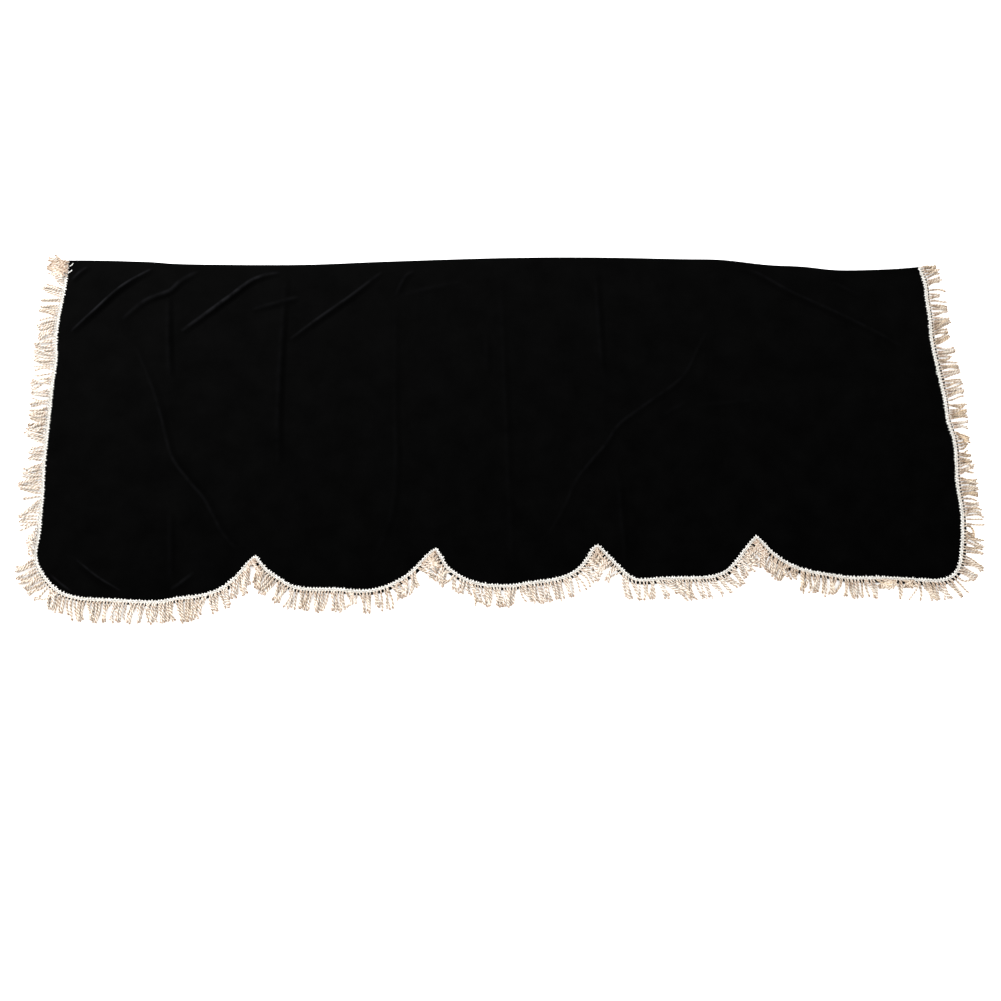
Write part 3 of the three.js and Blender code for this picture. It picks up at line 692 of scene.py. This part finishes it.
def headerTape():
    tape = header["tape"]
    along = np.linspace(0, trimLong, int(trimLong / tape["step"]))
    corners = [(tape["from"], tape["low"]), (tape["to"], tape["low"]), (tape["to"], tape["high"]),
               (tape["from"], tape["high"])]
    rings = np.stack([np.column_stack([trimPlace(along, out), np.full(len(along), high)])
                      for out, high in corners], 1)
    points = rings.reshape(-1, 3)
    quads = []
    for i in range(len(along) - 1):
        for k in range(4):
            a, b = 4 * i + k, 4 * i + (k + 1) % 4
            quads.append((b, a, a + 4, b + 4))
    last = 4 * (len(along) - 1)
    quads += [(0, 1, 2, 3), (last + 3, last + 2, last + 1, last)]
    points[:, :2] += shift
    mesh = meshFrom("headerTape", points, quads, smooth=False)
    # the tape gets only the painted shade colour
    paintValues(mesh, "crown", np.zeros(len(points)))
    return newObject("headerTape", mesh, cottonMaterial)


def headerBraid(name, middle, half):
    count = int(trimLong / header["braidPeriod"] * header["stepsPerPeriod"])
    along = np.linspace(header["endGap"], trimLong - header["endGap"], count)
    paths = []
    for yarn in range(header["braidYarns"]):
        turn = 2 * math.pi * (along / header["braidPeriod"] + yarn / header["braidYarns"])
        high = header["braidHigh"] + header["crossing"] * np.sin(2 * turn)
        paths.append(np.column_stack([trimPlace(along, middle + half * np.sin(turn)), high]))
    lit = {"crown": header["braidLit"]}
    return tubes(name, np.array(paths), header["yarn"], header["yarnSides"], cottonMaterial, lit)


def picotEdge():
    picot = header["picot"]
    rng = np.random.default_rng(picot["seed"])
    centres = np.arange(picot["pitch"], trimLong - picot["pitch"], picot["pitch"])
    tops = picot["top"] + rng.normal(0, picot["topNoise"], len(centres))
    centres = centres + rng.normal(0, picot["sideNoise"], len(centres))
    turn = np.linspace(0, math.pi, picot["rings"])
    along = centres[:, None] - picot["wide"] / 2 * np.cos(turn)
    out = picot["from"] - (picot["from"] - tops[:, None]) * np.sin(turn)
    places = trimPlace(along, np.broadcast_to(out, along.shape))
    paths = np.concatenate([places, np.full(along.shape + (1,), picot["high"])], -1)
    return tubes("picotEdge", paths, picot["yarn"], header["yarnSides"], cottonMaterial, {"crown": 1})


trimPieces = [headerTape(), picotEdge()]
trimPieces += [headerBraid(name, **row) for name, row in header["braids"].items()]
print("header made")

# The bullion: cords of two plies, each folded at its tip and twisted back on itself
bullion = {
    "seed": 31,
    "pitch": 6.4,
    "rootOut": 6.3,
    "rootHigh": 3.4,
    "rootRise": 0.4,        # mm that it may rise for each ring
    "rootRings": 3,         # near the root, where the header holds it down
    "rootNoise": 0.4,
    "long": 42,
    "rings": 25,
    "sides": 6,
    "ply": 1.42,
    "plyAtRoot": 1.0,
    "apart": 1.2,
    "apartAtRoot": 0.85,
    "necked": (4, 10),      # mm from the root, where the cord comes to its full width
    "loopBends": (-60, -20, 20, 60),
    "tipNoise": 2.8,
    "reachNoise": 2,
    "strayShare": 0.09,     # of the cords, whose tips lie further off
    "strayNoise": 12,
    "twinNoise": 6,
    "slimUneven": (0.92, 1.08),
    "twistUneven": (0.85, 1.15),
    "leaving": (8, 4),      # mm that it runs straight out of the header, and straight towards its tip
    "arriving": 0.4,        # share of its length over which it turns to lie as its lock does
    "lockBend": 9,          # degrees
    "cordBend": 9,
    "slack": 0.12,
    "wander": 0.8,
    "wanderTurns": (4, 9),  # radians
    "restsOver": (-1, 0, 1),    # mm beside its middle, where it feels what lies below
    "pastCloth": 0.8,       # mm past the cloth's edge, up to which it still rests on it
    "bedded": 0.8,          # share of its half height that carries the next cord
    "steepest": 0.55,
    "highest": 9.0,
    "offFloor": 0.02,
    "paintedPlyShade": (0.48, 1.0),  # from the middle of the cord to its crown, where the brown painted shade gives way to cream
    "crowded": (5, 11, 26),     # mm from the root: where the cord gets less light between its neighbours
    "tipShade": 3,          # mm from the tip, over which it gets less light, and how much less
    "behindTip": 0.45,
    "toneAtRoot": 0.4,
    "notchShade": 0.35,     # how much less the cords get that are crowded into the notches of the hem
    "notchHalf": 26,        # mm along the header, within which no stitch holds a second cord
}

# How the cord was spun on each stretch: width against the plain cord, millimetres for each turn, tone, how
# uneven the tone is, how much less light it gets near the root, and the share of stitches with a second cord
spinColumns = ("piece", "slim", "twist", "tone", "toneNoise", "rootShade", "twins")
spins = {row["piece"]: row for row in rowsOf(spinColumns, (
    ("bullionLeft", 1.0, 14.5, 0.06, 0.12, 0.1, 0.45),
    ("bullionHem1", 1.02, 14.5, 0.13, 0.12, 0.15, 0.65),
    ("bullionHem2", 1.02, 14.5, 0.24, 0.12, 0.22, 0.65),
    ("bullionHem3", 1.02, 14.5, 0.12, 0.12, 0.08, 0.65),
    ("bullionHem4", 1.02, 14.5, 0.12, 0.12, 0.05, 0.6),
    ("bullionHem5", 0.98, 13.5, 0.36, 0.18, 0.36, 0.65),
    ("bullionRight", 0.92, 12.5, 0.55, 0.22, 0.5, 0.6),
))}

# The locks that the cords have fallen into: where their roots begin and end along the header, the middle and
# the spread of their tips, and how far out the tips lie
lockColumns = ("from", "to", "tips", "spread", "reach")
lockRows = {
    "bullionLeft": [
        (0, 40, 11, 38, 44), (42, 66, 30, 16, 30), (66, 90, 70, 18, 44), (92, 134, 113, 34, 44),
        (140, 147, 153, 2, 46), (148, 164, 170, 6, 43), (166, 184, 186, 6, 42), (186, 198, 202, 6, 46),
        (200, 246, 220, 40, 46), (248, 261, 255, 5, 46), (263, 270, 270, 2, 45), (271, 289, 291, 8, 46),
        (290, 297, 287, 3, 44), (298, 305, 309, 3, 44), (306, 328, 311, 22, 46), (330, 351, 343, 14, 46),
        (353, 374, 367, 10, 46), (375, 402, 390, 16, 45), (403, 428, 405, 14, 45), (430, 446, 440, 12, 34),
        (446, 466, 456, 16, 37), (468, 500, 493, 14, 44), (502, 538, 522, 14, 49), (540, 546, 552, 2, 40),
        (547, 580, 584, 8, 43), (582, 606, 598, 10, 42), (608, 626, 645, 14, 20),
    ],
    "bullionHem1": [
        (628, 672, 640, 30, 19), (674, 740, 706, 56, 50), (742, 764, 765, 6, 46), (765, 786, 785, 14, 47),
        (787, 818, 815, 20, 51), (819, 858, 845, 26, 48), (859, 872, 867, 6, 45), (873, 904, 888, 16, 45),
        (905, 922, 904, 6, 46), (924, 940, 927, 5, 49), (941, 962, 952, 16, 48), (966, 980, 972, 5, 47),
        (982, 994, 987, 5, 47), (1001, 1050, 1022, 34, 50), (1051, 1064, 1044, 5, 40),
        (1066, 1082, 1069, 4, 47), (1084, 1106, 1092, 6, 50), (1108, 1130, 1104, 10, 38),
        (1131, 1148, 1119, 5, 48), (1150, 1165, 1130, 8, 40), (1166, 1190, 1176, 24, 46),
    ],
    "bullionHem2": [
        (1198, 1213, 1204, 8, 42), (1217, 1234, 1244, 8, 44), (1236, 1266, 1256, 16, 47),
        (1268, 1292, 1278, 14, 48), (1293, 1304, 1299, 3, 51), (1306, 1342, 1327, 26, 49),
        (1346, 1374, 1358, 14, 49), (1375, 1403, 1391, 18, 46), (1404, 1413, 1424, 5, 34),
        (1415, 1430, 1413, 8, 36), (1431, 1452, 1446, 5, 50), (1453, 1457, 1453, 2, 51),
        (1459, 1472, 1467, 5, 41), (1473, 1492, 1483, 16, 52), (1494, 1508, 1504, 5, 40),
        (1510, 1546, 1517, 22, 41), (1548, 1556, 1541, 4, 36), (1557, 1563, 1562, 2, 50),
        (1565, 1590, 1574, 16, 42), (1592, 1618, 1600, 22, 44),
    ],
    "bullionHem3": [
        (1625, 1652, 1640, 22, 44), (1654, 1674, 1682, 6, 43), (1676, 1690, 1676, 6, 36),
        (1691, 1712, 1708, 14, 34), (1713, 1724, 1728, 8, 33), (1725, 1734, 1741, 2, 46),
        (1736, 1764, 1760, 16, 48), (1768, 1806, 1790, 26, 48), (1808, 1816, 1806, 4, 44),
        (1819, 1848, 1843, 16, 39), (1850, 1896, 1872, 34, 46), (1897, 1926, 1908, 20, 48),
        (1928, 1944, 1936, 9, 49), (1946, 1976, 1957, 12, 49), (1978, 2008, 1990, 24, 46),
    ],
    "bullionHem4": [
        (2017, 2038, 2026, 14, 48), (2040, 2064, 2060, 12, 46), (2066, 2088, 2080, 10, 43),
        (2090, 2106, 2113, 3, 46), (2108, 2134, 2127, 5, 48), (2136, 2152, 2146, 8, 46),
        (2154, 2170, 2181, 5, 42), (2172, 2200, 2205, 12, 38), (2202, 2232, 2227, 9, 46),
        (2234, 2262, 2255, 14, 47), (2263, 2278, 2279, 3, 46), (2280, 2322, 2303, 24, 47),
        (2323, 2340, 2321, 8, 40), (2341, 2352, 2345, 3, 42), (2353, 2372, 2358, 12, 42),
        (2374, 2396, 2384, 18, 46),
    ],
    "bullionHem5": [
        (2404, 2428, 2418, 20, 46), (2430, 2464, 2459, 16, 42), (2470, 2484, 2482, 5, 47),
        (2486, 2498, 2490, 6, 35), (2500, 2512, 2506, 8, 28), (2514, 2522, 2523, 2, 49),
        (2524, 2534, 2532, 3, 40), (2536, 2561, 2550, 18, 47), (2562, 2582, 2578, 6, 42),
        (2583, 2600, 2588, 14, 42), (2601, 2612, 2606, 5, 46), (2613, 2640, 2627, 22, 48),
        (2642, 2664, 2664, 5, 46), (2665, 2688, 2700, 14, 24), (2690, 2712, 2678, 14, 24),
        (2713, 2718, 2712, 2, 46), (2719, 2736, 2744, 10, 24), (2738, 2750, 2728, 8, 24),
        (2751, 2758, 2756, 2, 49), (2760, 2784, 2785, 4, 48), (2786, 2806, 2804, 8, 48),
        (2807, 2826, 2821, 14, 50), (2828, 2850, 2844, 14, 45),
    ],
    "bullionRight": [
        (2851, 2874, 2857, 8, 49), (2875, 2912, 2891, 24, 44), (2914, 2934, 2908, 12, 28),
        (2936, 2950, 2940, 3, 47), (2951, 2968, 2960, 14, 46), (2969, 2992, 2982, 16, 40),
        (2993, 3026, 3012, 26, 41), (3027, 3038, 3026, 4, 40), (3044, 3064, 3056, 12, 36),
        (3070, 3082, 3075, 4, 34), (3083, 3096, 3091, 4, 33), (3097, 3122, 3118, 14, 34),
        (3123, 3140, 3118, 10, 36), (3141, 3162, 3152, 18, 40), (3163, 3178, 3173, 6, 44),
        (3180, 3204, 3190, 14, 46), (3208, 3226, 3221, 5, 46), (3232, 3256, 3244, 16, 46),
        (3258, 3276, 3271, 6, 46), (3277, 3298, 3288, 12, 46), (3299, 3312, 3304, 5, 34),
        (3313, 3334, 3323, 16, 46), (3335, 3368, 3362, 18, 38), (3370, 3380, 3390, 4, 42),
        (3382, 3402, 3395, 5, 45), (3404, 3418, 3417, 3, 45), (3420, 3444, 3432, 16, 42),
        (3446, 3462, 3454, 10, 26), (3464, 3470, 3467, 2, 42), (3472, 3520, 3498, 42, 37),
    ],
}
locks = {name: rowsOf(lockColumns, rows) for name, rows in lockRows.items()}

# The fringe's end at the top of the left side is folded back over itself, so its cords lie over the header
folded = {
    "locks": rowsOf(lockColumns, ((0, 34, 10, 44, 42), (2, 30, 26, 34, 28), (14, 44, 12, 30, 36))),
    "pitch": 8.5,
    "tipNoise": 10,
    "rootOut": 0.8,
    "rootHigh": 5.4,
    "headerWide": 8,
    "headerHigh": 4.2,
    "tone": 0.5,
    # painted shade on the cords folded over the header
    "shade": 0.4,
}


def turned(vectors, degrees):
    angle = np.radians(degrees)
    x, y = vectors[..., 0], vectors[..., 1]
    return np.stack([x * np.cos(angle) - y * np.sin(angle), x * np.sin(angle) + y * np.cos(angle)], -1)


def fromNotch(along):  # distance to the nearest point of the hem
    return np.abs(along[:, None] - hemPoints).min(1)


def plantCords(rng):  # one row of values for each cord
    columns = {}

    def plant(name, lock, low, high, over=None):
        spin, held = spins[name], over or bullion
        count = max(1, round((high - low) / held["pitch"]))
        stitch = (np.arange(count) + 0.5) / count
        free = fromNotch(between(low, high, stitch)) > bullion["notchHalf"]
        twins = stitch[free & (rng.random(count) < spin["twins"])]
        noise = np.where(rng.random(count) < bullion["strayShare"], bullion["strayNoise"], held["tipNoise"])
        noise = np.concatenate([noise, np.full(len(twins), bullion["twinNoise"])])
        share = np.concatenate([stitch, twins])
        count = len(share)
        lockTone = spin["tone"] + rng.normal(0, spin["toneNoise"]) + (over["tone"] if over else 0)
        root = between(low, high, share) + rng.normal(0, bullion["rootNoise"], count)
        # painted shade on the cords crowded into the notches of the hem
        notchShade = bullion["notchShade"] * np.exp(-(fromNotch(root) / bullion["notchHalf"]) ** 2)
        values = {
            "root": root,
            "rootOut": np.full(count, held["rootOut"]),
            "rootHigh": np.full(count, held["rootHigh"]),
            "over": np.full(count, bool(over)),
            "tip": lock["tips"] + lock["spread"] * (share - 0.5) + rng.normal(0, noise),
            "reach": lock["reach"] + rng.normal(0, bullion["reachNoise"], count),
            "bend": rng.normal(0, bullion["lockBend"]) + rng.normal(0, bullion["cordBend"], count),
            "tone": lockTone + rng.normal(0, spin["toneNoise"], count),
            "shade": notchShade + (over["shade"] if over else 0),
            "rootShade": np.full(count, spin["rootShade"]),
            "slim": spin["slim"] * rng.uniform(*bullion["slimUneven"], count),
            "twist": spin["twist"] * rng.uniform(*bullion["twistUneven"], count),
            "piece": np.full(count, name),
        }
        for key, value in values.items():
            columns.setdefault(key, []).append(value)

    rows = [(name, lock) for name, stretch in locks.items() for lock in stretch]
    meets = [(lock["to"] + after["from"]) / 2 for (_, lock), (_, after) in zip(rows, rows[1:])]
    for (name, lock), low, high in zip(rows, [0, *meets], [*meets, trimLong]):
        plant(name, lock, low, high)
    for lock in folded["locks"]:
        plant("bullionLeft", lock, lock["from"], lock["to"], folded)
    return {key: np.concatenate(values) for key, values in columns.items()}


def cordLines(cords, rng):  # where every cord lies, seen from above
    count = len(cords["root"])
    outward = unit(outwardAt(cords["root"]))
    start = trimPlace(cords["root"], cords["rootOut"])
    end = lineAt(cords["tip"]) + unit(outwardAt(cords["tip"])) * cords["reach"][:, None]
    chord = np.linalg.norm(end - start, axis=1)[:, None]
    heading = unit(end - start)
    arriving = turned(heading, cords["bend"])
    straightOut, towardsTip = bullion["leaving"]
    knee = start + outward * straightOut + heading * towardsTip
    wrist = end - arriving * chord * bullion["arriving"]
    t = np.linspace(0, 1, bullion["rings"])[None, :, None]
    start, knee, wrist, end = (p[:, None] for p in (start, knee, wrist, end))
    lines = bezier(start, knee, wrist, end, t)
    sideways = leftOf(unit(np.gradient(lines, axis=1)))
    spare = np.sqrt(np.maximum(bullion["long"] ** 2 - chord ** 2, 0)) * bullion["slack"]
    t = t[..., 0]
    phase = rng.uniform(0, 2 * math.pi, count)[:, None]
    waver = bullion["wander"] * np.sin(t * rng.uniform(*bullion["wanderTurns"], count)[:, None] + phase) * t
    arc = spare * rng.normal(0, 1, count)[:, None] * np.sin(t * math.pi)
    return lines + sideways * (waver + arc)[..., None]


def layCords(cords, lines, rng):  # heights: each cord rests on the cloth, the floor or the cords below it
    margin, beside, rings = 5, bullion["restsOver"], bullion["rootRings"]
    low = lines.reshape(-1, 2).min(0) - margin
    size = np.ceil(lines.reshape(-1, 2).max(0) + margin - low).astype(int)
    laid = np.zeros(size)  # a cell for each square millimetre
    heights = np.zeros(lines.shape[:2])
    order = rng.permutation(len(lines))
    for i in order[np.argsort(cords["over"][order], kind="stable")]:
        line, along, rootHigh = lines[i], cords["root"][i], cords["rootHigh"][i]
        half = (bullion["ply"] + bullion["apart"]) * cords["slim"][i]
        away = (line - lineAt(along)) @ unit(outwardAt(along)) - bowAt(along)
        ground = np.where(away < clothEdge(along) + bullion["pastCloth"], cover["clothThick"], 0)
        if cords["over"][i]:
            ground = np.where(away < folded["headerWide"], folded["headerHigh"], ground)
        sideways = leftOf(unit(np.gradient(line, axis=0)))
        spots = np.concatenate([line + sideways * offset for offset in beside])
        cells = (spots - low).astype(int)
        below = laid[cells[:, 0], cells[:, 1]].reshape(len(beside), -1).max(0)
        high = np.maximum(ground, below) + half
        high[0] = max(high[0], rootHigh)
        step = np.linalg.norm(np.diff(line, axis=0), axis=1) * bullion["steepest"]
        for k in range(1, len(high)):
            high[k] = max(high[k], high[k - 1] - step[k - 1])
        for k in range(len(high) - 2, -1, -1):
            high[k] = max(high[k], high[k + 1] - step[k])
        heights[i] = np.minimum(high, bullion["highest"])
        held = rootHigh + bullion["rootRise"] * np.arange(rings)
        heights[i, :rings] = np.minimum(heights[i, :rings], held)
        top = np.tile(heights[i] + half * bullion["bedded"], len(beside))
        np.maximum.at(laid, (cells[:, 0], cells[:, 1]), top)
    return heights


def twistedCords(cords, lines, heights, rng):  # each cord's yarn runs down to the tip and back
    count = len(lines)
    slim = cords["slim"][:, None]
    centre = np.concatenate([lines, heights[..., None]], -1)
    run = unit(np.gradient(centre, axis=1))
    sideways = unit(np.cross(run, (0.0, 0.0, 1.0)))
    upward = np.cross(sideways, run)
    distance = distanceAlong(centre)
    full = smoothstep(distance, *bullion["necked"])
    apart, ply = (slim * between(bullion[name + "AtRoot"], bullion[name], full) for name in ("apart", "ply"))
    turn = 2 * math.pi * distance / cords["twist"][:, None] + rng.uniform(0, 2 * math.pi, count)[:, None]
    offset = sideways * np.cos(turn)[..., None] + upward * np.sin(turn)[..., None]
    first, second = centre + offset * apart[..., None], centre - offset * apart[..., None]
    bend = np.radians(bullion["loopBends"])[:, None]
    rounding = (centre[:, -1:] - offset[:, -1:] * np.sin(bend) * apart[:, -1:, None]
                + run[:, -1:] * np.cos(bend) * apart[:, -1:, None])
    paths = np.concatenate([first, rounding, second[:, ::-1]], 1)

    def thereAndBack(values):
        return np.concatenate([values, np.repeat(values[:, -1:], len(bend), 1), values[:, ::-1]], 1)

    # painted shade: less light among its neighbours near the root, at the tip and in the notches of the hem
    low, middle, high = bullion["crowded"]
    crowded = smoothstep(distance, low, middle) * (1 - smoothstep(distance, middle, high))
    tone = cords["tone"][:, None] * between(bullion["toneAtRoot"], 1, full)
    fromTip = smoothstep(distance[:, -1:] - distance, 0, bullion["tipShade"])
    lit = 1 - bullion["behindTip"] * (1 - fromTip)
    lit = lit * (1 - cords["rootShade"][:, None] * crowded) * (1 - cords["shade"][:, None])
    radii, reach, middle, tone, lit = (thereAndBack(v) for v in (ply, ply + apart, centre, tone, lit))
    paths[..., 2] = np.maximum(paths[..., 2], radii + bullion["offFloor"])
    return paths, radii, reach, middle, np.clip(tone, 0, 1), lit


def makeBullion():
    rng = np.random.default_rng(bullion["seed"])
    cords = plantCords(rng)
    lines = cordLines(cords, rng)
    heights = layCords(cords, lines, rng)
    paths, radii, reach, middle, tone, lit = twistedCords(cords, lines, heights, rng)
    pieces = []
    for name in locks:
        pick = cords["piece"] == name
        values = {"tone": tone[pick][..., None]}
        piece = tubes(name, paths[pick], radii[pick], bullion["sides"], cordMaterial, values)
        points = np.empty(len(piece.data.vertices) * 3)
        piece.data.vertices.foreach_get("co", points)
        points = points.reshape(*paths[pick].shape[:2], bullion["sides"], 3) / mm
        points[..., :2] -= shift
        # painted shade: brown between the plies, and less light where the cord is crowded, near its tip and
        # in the notches
        away = np.linalg.norm(points - middle[pick][:, :, None], axis=-1) / reach[pick][..., None]
        crown = smoothstep(away, *bullion["paintedPlyShade"]) * lit[pick][..., None]
        paintValues(piece.data, "crown", crown.ravel())
        pieces.append(piece)
    print("bullion has", len(lines), "cords")
    return pieces


# Loose ends of yarn at the top of the left side, as the two ends of each with its height and radius
loose = {
    "ends": rowsOf(("start", "end", "high", "radius"), (
        ((-947, 387), (-954, 380), 3.6, 0.9),
        ((-948, 371), (-957, 364), 3.9, 0.9),
        ((-998, 414), (-984, 398), 0.8, 0.6),
        ((-986, 414), (-980, 401), 0.8, 0.6),
    )),
    "bowed": 0.12,  # share of its length
    "rings": 9,
    "sides": 6,
}


def looseYarn():
    t = np.linspace(0, 1, loose["rings"])[:, None]
    paths, radii = [], []
    for end in loose["ends"]:
        a, b = np.array(end["start"], float), np.array(end["end"], float)
        run = b - a
        line = a + run * t + leftOf(run) * loose["bowed"] * np.sin(t * math.pi)
        paths.append(np.column_stack([line, np.full(len(t), end["high"])]))
        radii.append(np.full(len(t), end["radius"]))
    return tubes("looseYarn", np.array(paths), np.array(radii), loose["sides"], cottonMaterial, {"crown": 1})


trimPieces += makeBullion()
trimPieces.append(looseYarn())
print("bullion made", sum(len(p.data.polygons) for p in trimPieces), "faces")

for piece in trimPieces:
    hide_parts("bullion_fringe")
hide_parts("velvet_panel")

# Floor, light and camera
studio = {
    "floor": "#f7f7f7",
    "floorGlow": 0.3,       # white paper so brightly lit that only faint shadows are left on it
    "floorSize": 12,
    "floorDrop": 0.3,       # mm under the cover
    "world": 1.4,
    "keyPower": 100,
    "keyPlace": (-1.7, 1.1, 2.2),
    "keySize": 1.6,
    "fillPower": 18,
    "fillPlace": (1.6, -1.2, 2.4),
    "fillSize": 2.4,
}
camera = {
    "elevation": 75,    # degrees above the floor, from the hem's side
    "away": 2.5,
    "aim": (0, -156),   # mm, in the cover's own lines
    "lens": 42.8,
    "sensor": 36,
}


def studioFloor():
    half = studio["floorSize"] / 2
    mesh = bpy.data.meshes.new("studioFloor")
    low = -studio["floorDrop"] * mm
    mesh.from_pydata([(-half, -half, low), (half, -half, low), (half, half, low), (-half, half, low)], [],
                     [(0, 1, 2, 3)])
    material, tree = newMaterial("white paper backdrop")  # matt coated paper, plain and even
    shader = addNode(tree, "BsdfPrincipled", inputs={
        "Base Color": linear(studio["floor"]), "Roughness": 0.9, "Specular IOR Level": 0.1,
        "Emission Color": (1, 1, 1, 1), "Emission Strength": studio["floorGlow"]})
    addNode(tree, "OutputMaterial", inputs={"Surface": shader.outputs["BSDF"]})
    mesh.materials.append(material)
    floor = bpy.data.objects.new("studioFloor", mesh)
    bpy.context.scene.collection.objects.link(floor)


def softLight(name, power, place, size):
    lamp = bpy.data.lights.new(name, "AREA")
    lamp.energy, lamp.size = power, size
    light = bpy.data.objects.new(name, lamp)
    light.location = place
    towards = -light.location
    light.rotation_euler = towards.to_track_quat("-Z", "Y").to_euler()
    bpy.context.scene.collection.objects.link(light)


def studioCamera():
    lens = bpy.data.cameras.new("camera")
    lens.lens, lens.sensor_width, lens.sensor_fit = camera["lens"], camera["sensor"], "HORIZONTAL"
    eye = bpy.data.objects.new("camera", lens)
    tilt = math.radians(camera["elevation"])
    aimX, aimY = (np.array(camera["aim"]) + shift) * mm
    eye.location = (aimX, aimY - camera["away"] * math.cos(tilt), camera["away"] * math.sin(tilt))
    eye.rotation_euler = (math.pi / 2 - tilt, 0, 0)
    bpy.context.scene.collection.objects.link(eye)
    bpy.context.scene.camera = eye


studioFloor()
softLight("keyLight", studio["keyPower"], studio["keyPlace"], studio["keySize"])
softLight("fillLight", studio["fillPower"], studio["fillPlace"], studio["fillSize"])
studioCamera()
world = bpy.data.worlds.new("studioWorld")
world.use_nodes = True
world.node_tree.nodes["Background"].inputs["Color"].default_value = (1, 1, 1, 1)
world.node_tree.nodes["Background"].inputs["Strength"].default_value = studio["world"]
bpy.context.scene.world = world
bpy.context.scene.view_settings.view_transform = "Standard"
print("studio made")
